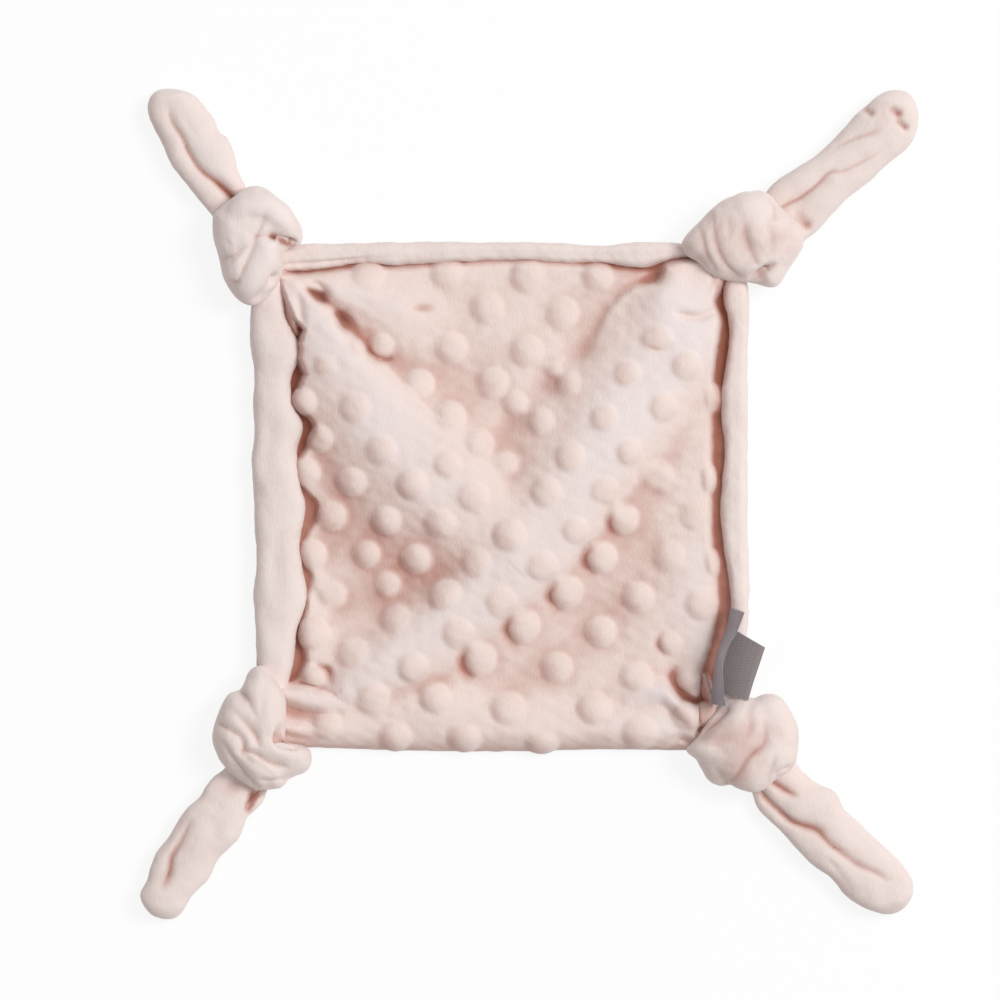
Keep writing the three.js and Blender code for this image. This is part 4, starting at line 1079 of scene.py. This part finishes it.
# Each knot: its outline and middle, strokes of painted shade and painted highlight, strands that stand out
# from it as rows of a pixel, a height and two half thicknesses, the creases where strands meet, and its
# deeper hollows
knots = {
    "upper_left": {
        "outline": [(213, 214), (213, 232), (216, 248), (221, 264), (225, 280), (236, 298), (251, 306),
                    (263, 300), (276, 288), (283, 272), (285, 254), (291, 247), (300, 242), (303, 231),
                    (298, 220), (286, 206), (272, 193), (259, 187), (246, 188), (232, 197), (221, 206)],
        "middle": (254, 246),
        "painted_strokes": [
            ([(274, 237, 1), (284, 242, 1.7), (294, 246, 1.1)], 1.6),
            ([(232, 240, -0.35), (244, 212, -0.45), (272, 208, -0.4)], 8),
            ([(264, 256, -0.4), (256, 276, -0.35)], 7),
        ],
        "strands": [
            [(234, 224, 13, 7, 9), (248, 211, 15, 7.6, 10), (265, 211, 15.5, 7, 10.5),
             (281, 222, 14.5, 6, 10), (292, 236, 11.5, 4, 7.5)],
            [(268, 250, 13, 6.5, 10), (264, 268, 13.5, 7.5, 9.5), (258, 286, 11, 6.5, 8)],
        ],
        "creases": [
            ([(257, 238, 2.6), (266, 237, 2.4), (276, 237, 3), (286, 243, 3.5), (296, 247, 1.5)], 2.2),
            ([(258, 237, 2.4), (252, 252, 2.4), (245, 266, 2.2), (239, 279, 1.6), (236, 285, 0.4)], 2.2),
            ([(219, 260, 1.6), (231, 258, 2), (240, 252, 2.2), (250, 248, 1.6)], 2.2),
            ([(226, 282, 0.8), (236, 284, 1.8), (241, 277, 1.2)], 1.6),
            ([(257, 237, 2), (262, 226, 1.6), (266, 214, 0.6), (267, 206, 0)], 2.2),
            ([(262, 229, 0.8), (272, 227, 1), (280, 232, 0.6)], 1.4),
            ([(278, 278, 2.4), (268, 292, 2.2), (257, 302, 2)], 1.8),
            ([(226, 236, 0), (230, 246, 0.7), (238, 251, 0.4)], 1.6),
        ],
        "hollows": [
            ([(274, 237, 3), (283, 241, 5), (293, 246, 4)], 2.0), ([(278, 281, 3), (279, 287, 3)], 1.6),
        ],
    },
    "upper_right": {
        "outline": [(681, 243), (686, 234), (699, 222), (709, 211), (728, 197), (746, 193), (758, 189),
                    (770, 194), (779, 206), (793, 217), (803, 231), (803, 245), (797, 258), (789, 270),
                    (781, 283), (774, 288), (763, 286), (750, 283), (736, 282), (722, 280), (708, 272),
                    (697, 262), (686, 255)],
        "middle": (742, 240),
        "painted_strokes": [([(700, 236, 0.42), (742, 244, 0.48), (785, 244, 0.42)], 14)],
        "strands": [
            [(722, 222, 14, 6.5, 9), (716, 240, 14.5, 7, 9.5), (728, 262, 11.5, 6.5, 8)],
            [(748, 214, 15, 9, 10), (756, 236, 15.5, 10, 10.5), (756, 254, 13, 8.5, 9.5)],
        ],
        "creases": [
            ([(711, 210, 0.5), (712, 226, 1.1), (716, 248, 1.5), (723, 265, 1.7), (734, 276, 1.6),
              (744, 281, 1)], 2.2),
            ([(698, 224, 0.4), (701, 238, 1.0), (705, 256, 1.2), (714, 270, 0.8)], 1.9),
            ([(742, 226, 0.2), (745, 240, 1.1), (751, 256, 1.4), (757, 267, 1)], 2.4),
            ([(751, 281, 2), (762, 274, 3), (771, 268, 2.6), (777, 265, 0.6)], 1.8),
            ([(770, 196, 1.6), (774, 206, 1.2), (774, 218, 0.9), (776, 224, 0)], 1.6),
            ([(766, 222, 0), (772, 238, 0.8), (770, 254, 0.3)], 2.2),
            ([(726, 214, 0), (728, 228, 0.6), (730, 244, 0)], 2.2),
        ],
        "hollows": [([(757, 279, 2), (766, 272, 3.5)], 1.8)],
    },
    "lower_left": {
        "outline": [(242, 690), (246, 680), (253, 672), (262, 667), (270, 676), (276, 690), (285, 703),
                    (286, 716), (281, 728), (281, 741), (296, 745), (311, 750), (311, 765), (300, 773),
                    (288, 778), (283, 787), (268, 790), (254, 789), (238, 778), (226, 767), (218, 755),
                    (213, 740), (215, 725), (221, 706), (229, 694)],
        "middle": (254, 736),
        "painted_strokes": [([(281, 730, 0.3), (282, 740, 1.0), (292, 744, 0.9), (306, 746, 0.3)], 1.6)],
        "strands": [
            [(261, 682, 10, 6, 8), (264, 702, 14, 8.5, 10), (266, 722, 15, 8, 10), (266, 740, 13, 7, 9.5)],
            [(258, 754, 13, 6.5, 9.5), (276, 757, 13, 7, 9.5), (298, 760, 11.5, 5.5, 8.5)],
        ],
        "creases": [
            ([(242, 691, 1.6), (248, 700, 1.8), (255, 712, 1), (259, 722, 0)], 2),
            ([(236, 712, 0.8), (248, 724, 2), (257, 735, 2.4), (260, 745, 1.4)], 2),
            ([(216, 722, 1.6), (230, 729, 2.2), (240, 735, 2.4), (244, 743, 2.6), (244, 751, 2.6)], 2),
            ([(244, 750, 2.6), (256, 753, 2.4), (269, 761, 2.6), (282, 766, 1.8), (291, 769, 0.4)], 2),
            ([(245, 752, 2), (250, 759, 1.6), (262, 765, 1.2), (274, 775, 0.8)], 2),
            ([(222, 742, 0.8), (232, 759, 2), (243, 774, 2.4), (255, 787, 1.8)], 2),
            ([(255, 780, 0.8), (270, 782, 1.8), (285, 779, 1.2)], 1.7),
            ([(270, 690, 0), (262, 706, 0.6), (262, 722, 0)], 2.4),
        ],
        "hollows": [([(281, 729, 1.5), (282, 741, 4.5), (294, 745, 3)], 1.9)],
    },
    "lower_right": {
        "outline": [(706, 729), (712, 718), (722, 702), (736, 697), (750, 699), (762, 697), (778, 704),
                    (787, 715), (794, 728), (798, 744), (797, 760), (790, 771), (776, 779), (766, 788),
                    (754, 793), (741, 790), (730, 785), (722, 778), (706, 766), (692, 757), (685, 750),
                    (694, 740)],
        "middle": (744, 745),
        "painted_strokes": [
            ([(712, 728, 0.6), (742, 738, 0.75), (740, 772, 0.6)], 9),
            ([(768, 720, 0.1), (776, 745, 0.1)], 8),
        ],
        "strands": [
            [(742, 716, 13, 8, 9), (730, 732, 14.5, 9.5, 10), (718, 750, 13, 9, 9.5), (722, 766, 10, 8, 8)],
            [(768, 714, 13, 8, 9.5), (778, 736, 13.5, 8, 10), (772, 760, 11.5, 7.5, 9)],
        ],
        "creases": [
            ([(764, 722, 0.6), (765, 734, 1.4), (762, 744, 1.7), (753, 752, 1.7), (745, 760, 1.6),
              (738, 772, 1.6), (730, 782, 0.9)], 2.3),
            ([(775, 752, 0.4), (773, 764, 1.2), (769, 780, 1)], 1.8),
            ([(777, 775, 2), (788, 770, 2.2), (799, 766, 1.4)], 1.7),
            ([(700, 732, 2), (712, 721, 2.2), (725, 708, 2.2)], 1.7),
            ([(748, 704, 0.3), (750, 722, 0.9), (746, 738, 0.3)], 2.2),
            ([(706, 744, 0), (716, 744, 0.7), (728, 752, 0)], 2.2),
        ],
        "hollows": [],
    },
}
knot_high_mm = 25
# Painted shade in creases: how much deeper the colour is for each millimetre of crease
knot_crease_shade = 0.12
for number, corner_name in enumerate(corner_names):
    knot = knots[corner_name]
    shapes = [cushion_rings(knot["outline"], knot["middle"], knot_high_mm)]
    shapes += [strand_rings(rows) for rows in knot["strands"]]
    piece = soft_piece(
        corner_name + "_knot_cloth", shapes, knot["creases"], knot["hollows"], seed=51 + 3 * number,
        painted_strokes=knot["painted_strokes"], crease_shade=knot_crease_shade, body=corner_name + "_knot",
    )
    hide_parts(corner_name + "_knot")

# Ears: the free end of each corner beyond its knot. The two cloths fold in on themselves to a
# soft flattened tube with a deep pleat, which widens from the knot and ends in a round tip.


def ear_rings(left_px, right_px, root_mm, full_mm, stations=46, sides=40):
    """Rings of an ear between its two outlines, from inside the knot to the tip. It is thin at
    its root, full from a share of its length on, and thinner where it is narrow."""
    full_at, narrow_share, thin_power, ring_power = 0.35, 0.7, 0.55, 0.85
    left, right = spread(left_px, stations), spread(right_px, stations)
    share = np.linspace(0, 1, stations)
    half_wide = np.linalg.norm(left - right, axis=1) / 2
    half_high = (root_mm + (full_mm - root_mm) * smooth_step(0, full_at, share)) / 2
    half_high = half_high * np.minimum(1, (half_wide / half_wide.max() / narrow_share) ** thin_power)
    across, up = rounded_ring(sides, ring_power)
    middle = (left + right) / 2
    rings = np.zeros((stations, sides, 3))
    rings[..., :2] = middle[:, None] + (right - left)[:, None] / 2 * across[None, :, None]
    rings[..., 2] = half_high[:, None] * (1 + up)
    return rings[:-1]


# Each ear: its two sides from the knot to the tip, its creases, its soft hollows, and strokes of painted
# shade and painted highlight
ears = {
    "upper_left": {
        "left": [(224, 236), (213, 217), (203, 205), (187, 186), (173, 167), (160, 143), (150, 121),
                 (147, 106), (150, 95), (158, 89), (167, 87)],
        "right": [(252, 206), (245, 187), (238, 172), (233, 152), (228, 138), (219, 131), (214, 119),
                  (203, 105), (192, 94), (180, 89), (167, 87)],
        "creases": [
            ([(168, 108, 0.6), (173, 124, 2), (183, 139, 2.6), (188, 152, 3), (199, 169, 3.2),
              (218, 184, 3.6), (236, 200, 3.6)], 1.8),
            ([(184, 116, 0), (190, 128, 0.7), (200, 140, 0)], 2.0),
        ],
        "hollows": [([(216, 176, 0), (222, 184, 0.8), (230, 192, 1)], 2.6)],
        "painted_strokes": [
            ([(212, 178, 0.2), (226, 190, 0.5), (236, 198, 0.6)], 3),
            ([(196, 128, -0.2), (208, 156, -0.45), (220, 172, -0.3)], 4),
        ],
    },
    "upper_right": {
        "left": [(760, 214), (768, 190), (780, 179), (798, 166), (816, 155), (837, 135), (850, 120),
                 (864, 106), (882, 93), (897, 89)],
        "right": [(790, 254), (806, 239), (819, 229), (841, 205), (867, 183), (890, 162), (905, 150),
                  (914, 136), (919, 122), (918, 108), (910, 94), (897, 89)],
        "creases": [
            ([(774, 212, 1.6), (786, 205, 2.2), (800, 198, 2.4), (816, 186, 2.4), (829, 173, 2),
              (844, 171, 1.4), (872, 157, 1), (890, 144, 0)], 2.0),
            ([(820, 157, 0), (838, 146, 1.2), (851, 140, 1.4), (868, 135, 1), (884, 128, 0)], 2.0),
        ],
        "hollows": [
            ([(798, 218, 1), (806, 226, 2)], 2.2), ([(864, 109, 1), (870, 113, 1.4)], 1.5),
            ([(893, 110, 1), (898, 114, 1.6)], 1.5), ([(899, 122, 1), (906, 128, 1.6)], 1.3),
        ],
        "painted_strokes": [
            ([(864, 109, 0.3), (870, 113, 0.5)], 1.5), ([(893, 110, 0.4), (898, 114, 0.6)], 1.5),
            ([(899, 122, 0.4), (906, 128, 0.6)], 1.3), ([(796, 220, 0.3), (808, 226, 0.7)], 2),
            ([(868, 126, 0.26), (898, 116, 0.26)], 7),
        ],
    },
    "lower_left": {
        "left": [(238, 752), (224, 769), (213, 777), (205, 786), (199, 798), (187, 808), (176, 825),
                 (167, 839), (156, 853), (150, 869), (147, 881), (141, 890), (139, 898), (145, 910),
                 (154, 917), (166, 920)],
        "right": [(276, 766), (268, 788), (262, 803), (252, 813), (246, 819), (240, 836), (232, 846),
                  (218, 858), (209, 878), (198, 890), (190, 899), (183, 911), (176, 918), (166, 920)],
        "creases": [
            ([(192, 816, 0), (186, 828, 1.4), (178, 844, 2), (171, 857, 2.2), (169, 872, 2),
              (164, 886, 0.4)], 2.2),
            ([(268, 788, 3), (258, 797, 3.2), (249, 811, 2)], 2.0),
        ],
        "hollows": [
            ([(222, 779, 0.8), (233, 783, 1.6), (242, 783, 1)], 3.2),
            ([(207, 812, 0), (216, 834, 0.7), (207, 856, 0)], 3.0), ([(253, 795, 2), (250, 806, 2.4)], 1.6),
        ],
        "painted_strokes": [
            ([(214, 788, 0.3), (230, 790, 0.5), (246, 792, 0.4)], 4), ([(254, 793, 1), (249, 808, 1.1)], 2.2),
            ([(175, 852, 0.3), (171, 870, 0.5), (166, 884, 0.5)], 3.2),
        ],
    },
    "lower_right": {
        "left": [(742, 770), (751, 790), (756, 805), (770, 821), (788, 839), (810, 864), (831, 879),
                 (845, 895), (861, 906), (879, 914), (893, 916)],
        "right": [(790, 752), (801, 770), (818, 784), (836, 792), (845, 809), (861, 824), (885, 847),
                  (902, 864), (912, 879), (914, 894), (906, 908), (893, 916)],
        "creases": [
            ([(757, 790, 3), (775, 808, 3.2), (792, 822, 2.8), (815, 829, 2.2), (826, 840, 1.9),
              (843, 854, 1.7), (859, 865, 1.6), (874, 871, 1.6), (888, 880, 0.6)], 2.1),
            ([(772, 781, 2.4), (788, 791, 2), (800, 797, 0)], 1.8),
            ([(824, 836, 0.6), (832, 847, 1.6), (846, 850, 0.4)], 1.4),
            ([(820, 853, 0), (834, 867, 0.8), (856, 896, 0)], 2.0),
        ],
        "hollows": [([(846, 826, 0), (862, 842, 0.6), (880, 856, 0)], 3.0)],
        "painted_strokes": [
            ([(776, 786, 0.5), (790, 793, 0.4), (804, 800, 0.1)], 2.6),
            ([(764, 800, 0.2), (790, 818, 0.4), (820, 832, 0.3)], 2.6),
            ([(800, 822, 0.1), (834, 838, 0.3), (858, 858, 0.3), (882, 872, 0.15)], 4.5),
        ],
    },
}
ear_root_mm = 9.5
ear_full_mm = 13.2
# Painted shade in the ears' creases, for each millimetre of crease
ear_crease_shade = 0.28
for number, corner_name in enumerate(corner_names):
    ear = ears[corner_name]
    rings = ear_rings(ear["left"], ear["right"], ear_root_mm, ear_full_mm)
    piece = soft_piece(
        corner_name + "_ear_cloth", [rings], ear["creases"], ear["hollows"], seed=71 + 3 * number,
        painted_strokes=ear["painted_strokes"], crease_shade=ear_crease_shade,
    )
    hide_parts(corner_name + "_ear")
    root = np.array(joints[corner_name + "_ear_bend"]["pos_m"])
    ear_low, ear_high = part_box(corner_name + "_ear")
    tip_way = (np.array(ear_low) + np.array(ear_high)) / 2 - root
    tip_way[2] = 0
    tip_way /= np.linalg.norm(tip_way)
    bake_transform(piece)

# Labels: two folded ribbons caught in the right seam, both bare. The large one is grey satin
# and stands up from the seam. The small one is darker woven tape that leans out over the roll.


def ribbon_fabric(name, face, thread_mm, roughness, sheen):
    """Woven ribbon: fine threads both ways, and the even gloss of satin or flat tape. The
    threads are drawn coarser than the real ones, which are too fine to show."""
    made, tree = new_material(name)
    place = add_node(tree, "ShaderNodeTexCoord").outputs["Object"]
    warp, weft = (
        add_node(
            tree, "ShaderNodeTexWave",
            {"Vector": place, "Scale": math.pi / 10 / (thread_mm * mm), "Distortion": 0.6, "Detail": 1.0},
            bands_direction=way,
        )
        for way in ("Y", "Z")
    )
    weave = add_node(
        tree, "ShaderNodeMath", {0: warp.outputs["Fac"], 1: weft.outputs["Fac"]}, operation="MULTIPLY"
    )
    tint = add_node(
        tree, "ShaderNodeMapRange", {"Value": weave.outputs[0], "To Min": 0.94, "To Max": 1.05}
    )
    colour = add_node(
        tree, "ShaderNodeMix",
        {"Factor": 1.0, "A": linear(face), "B": tint.outputs[0]}, data_type="RGBA", blend_type="MULTIPLY",
    )
    relief = add_node(
        tree, "ShaderNodeBump", {"Strength": 0.5, "Distance": 0.08 * mm, "Height": weave.outputs[0]}
    )
    ribbon = add_node(
        tree, "ShaderNodeBsdfPrincipled",
        {"Base Color": colour.outputs["Result"], "Roughness": roughness, "Sheen Weight": sheen,
         "Sheen Roughness": 0.4, "Normal": relief.outputs[0]},
    )
    add_node(tree, "ShaderNodeOutputMaterial", {"Surface": ribbon.outputs[0]})
    return made


def label_rings(foot_px, fold_px, foot_mm, fold_mm, leaf_gap_mm, ribbon_mm, bow_mm):
    """Folded ribbon between the line of its foot and the line of its fold: two leaves that
    part by a small gap, with thickness, as a closed ring at each station along it."""
    stations, steps = 30, 14
    foot, fold = spread(foot_px, stations), spread(fold_px, stations)
    rise = np.linspace(0, 1, steps)
    rings = []
    for a, b in zip(foot, fold):
        run = np.array([*(b - a), fold_mm - foot_mm])
        face = np.cross(run, [0.0, 1.0, 0.0])
        face /= np.linalg.norm(face)
        leaf = np.array([[*a, foot_mm]]) + rise[:, None] * run
        leaf = leaf + (bow_mm * np.sin(math.pi * rise))[:, None] * face
        part = (leaf_gap_mm / 2 * np.sqrt(np.clip(1 - rise ** 4, 0, 1)))[:, None] * face
        first, second = leaf + part, (leaf - part)[::-1]
        middle = np.concatenate([first, second[1:]])
        ahead = np.gradient(middle, axis=0)
        ahead /= np.linalg.norm(ahead, axis=1, keepdims=True)
        out = np.cross(ahead, [0.0, 1.0, 0.0])
        out /= np.linalg.norm(out, axis=1, keepdims=True)
        half = ribbon_mm / 2 * out
        rings.append(np.concatenate([middle + half, (middle - half)[::-1]]))
    return np.array(rings)


sharp_degrees = 50


def add_label(name, node, rings, fabric):
    """Folded ribbon from its rings, riding on the label's own body."""
    count, sides = rings.shape[:2]
    index, quads, _ = ring_faces(count, sides)
    caps = []
    for row, turned in ((index[0], True), (index[-1], False)):
        for k in range(sides // 2 - 1):
            cap = [row[k], row[k + 1], row[sides - 2 - k], row[sides - 1 - k]]
            caps.append(cap if turned else cap[::-1])
    faces = [*(quad[::-1] for quad in quads), *caps]
    piece = add_piece(name, rings.reshape(-1, 3), faces, fabric, node)
    piece.data.set_sharp_from_angle(angle=math.radians(sharp_degrees))
    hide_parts(node)
    return piece


satin_ribbon = ribbon_fabric("satin_ribbon", "#93909B", thread_mm=1.0, roughness=0.42, sheen=0.3)
woven_tape = ribbon_fabric("woven_tape", "#968C8A", thread_mm=1.1, roughness=0.7, sheen=0.15)
large_foot_px = [(732, 608), (727, 630), (721, 645), (717, 660), (714, 680), (712.5, 704)]
large_fold_px = [(743, 612), (735.5, 631), (726.5, 646), (721, 660), (721.5, 677), (722.5, 694),
                 (724.5, 705)]
large_rings = label_rings(
    large_foot_px, large_fold_px, foot_mm=11.9, fold_mm=28.5, leaf_gap_mm=0.7, ribbon_mm=0.4, bow_mm=-0.25
)
large_ribbon = add_label(
    "large_label_ribbon", "large_label", large_rings, satin_ribbon
)
small_foot_px = [(735, 630), (729, 650), (724, 670), (721, 690)]
small_fold_px = [(764, 647), (758, 665), (752, 683), (747, 700)]
small_rings = label_rings(
    small_foot_px, small_fold_px, foot_mm=12.6, fold_mm=19.5, leaf_gap_mm=0.5, ribbon_mm=0.35, bow_mm=0.3
)
small_ribbon = add_label("small_label_ribbon", "small_label", small_rings, woven_tape)

# Sewing thread: pale pink polyester, two plies twisted, in the seam beside each rolled margin
# and in the hand stitches that close the lower edge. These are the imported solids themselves,
# with the twist drawn far coarser than the real one, which is too fine to show.
twist_mm = 5.236
sewing_thread, thread_tree = new_material("sewing_thread")
ply = add_node(
    thread_tree, "ShaderNodeTexWave",
    {"Vector": add_node(thread_tree, "ShaderNodeTexCoord").outputs["Object"],
     "Scale": math.pi / 10 / (twist_mm * mm)},
    bands_direction="DIAGONAL",
)
ply_tint = add_node(
    thread_tree, "ShaderNodeMix",
    {"Factor": ply.outputs["Fac"], "A": linear("#D9BBAE"), "B": linear("#EAD3C8")}, data_type="RGBA",
)
ply_relief = add_node(
    thread_tree, "ShaderNodeBump", {"Strength": 0.6, "Distance": 0.1 * mm, "Height": ply.outputs["Fac"]}
)
thread_surface = add_node(
    thread_tree, "ShaderNodeBsdfPrincipled",
    {"Base Color": ply_tint.outputs["Result"], "Roughness": 0.6, "Normal": ply_relief.outputs[0]},
)
add_node(thread_tree, "ShaderNodeOutputMaterial", {"Surface": thread_surface.outputs[0]})
thread_nodes = (
    "left_seam_thread", "top_seam_thread", "right_seam_thread", "lower_seam_thread", "closing_stitch"
)
for node_name in thread_nodes:
    thread_mesh = frame["nodes"][node_name].data
    thread_mesh.materials.clear()
    thread_mesh.materials.append(sewing_thread)
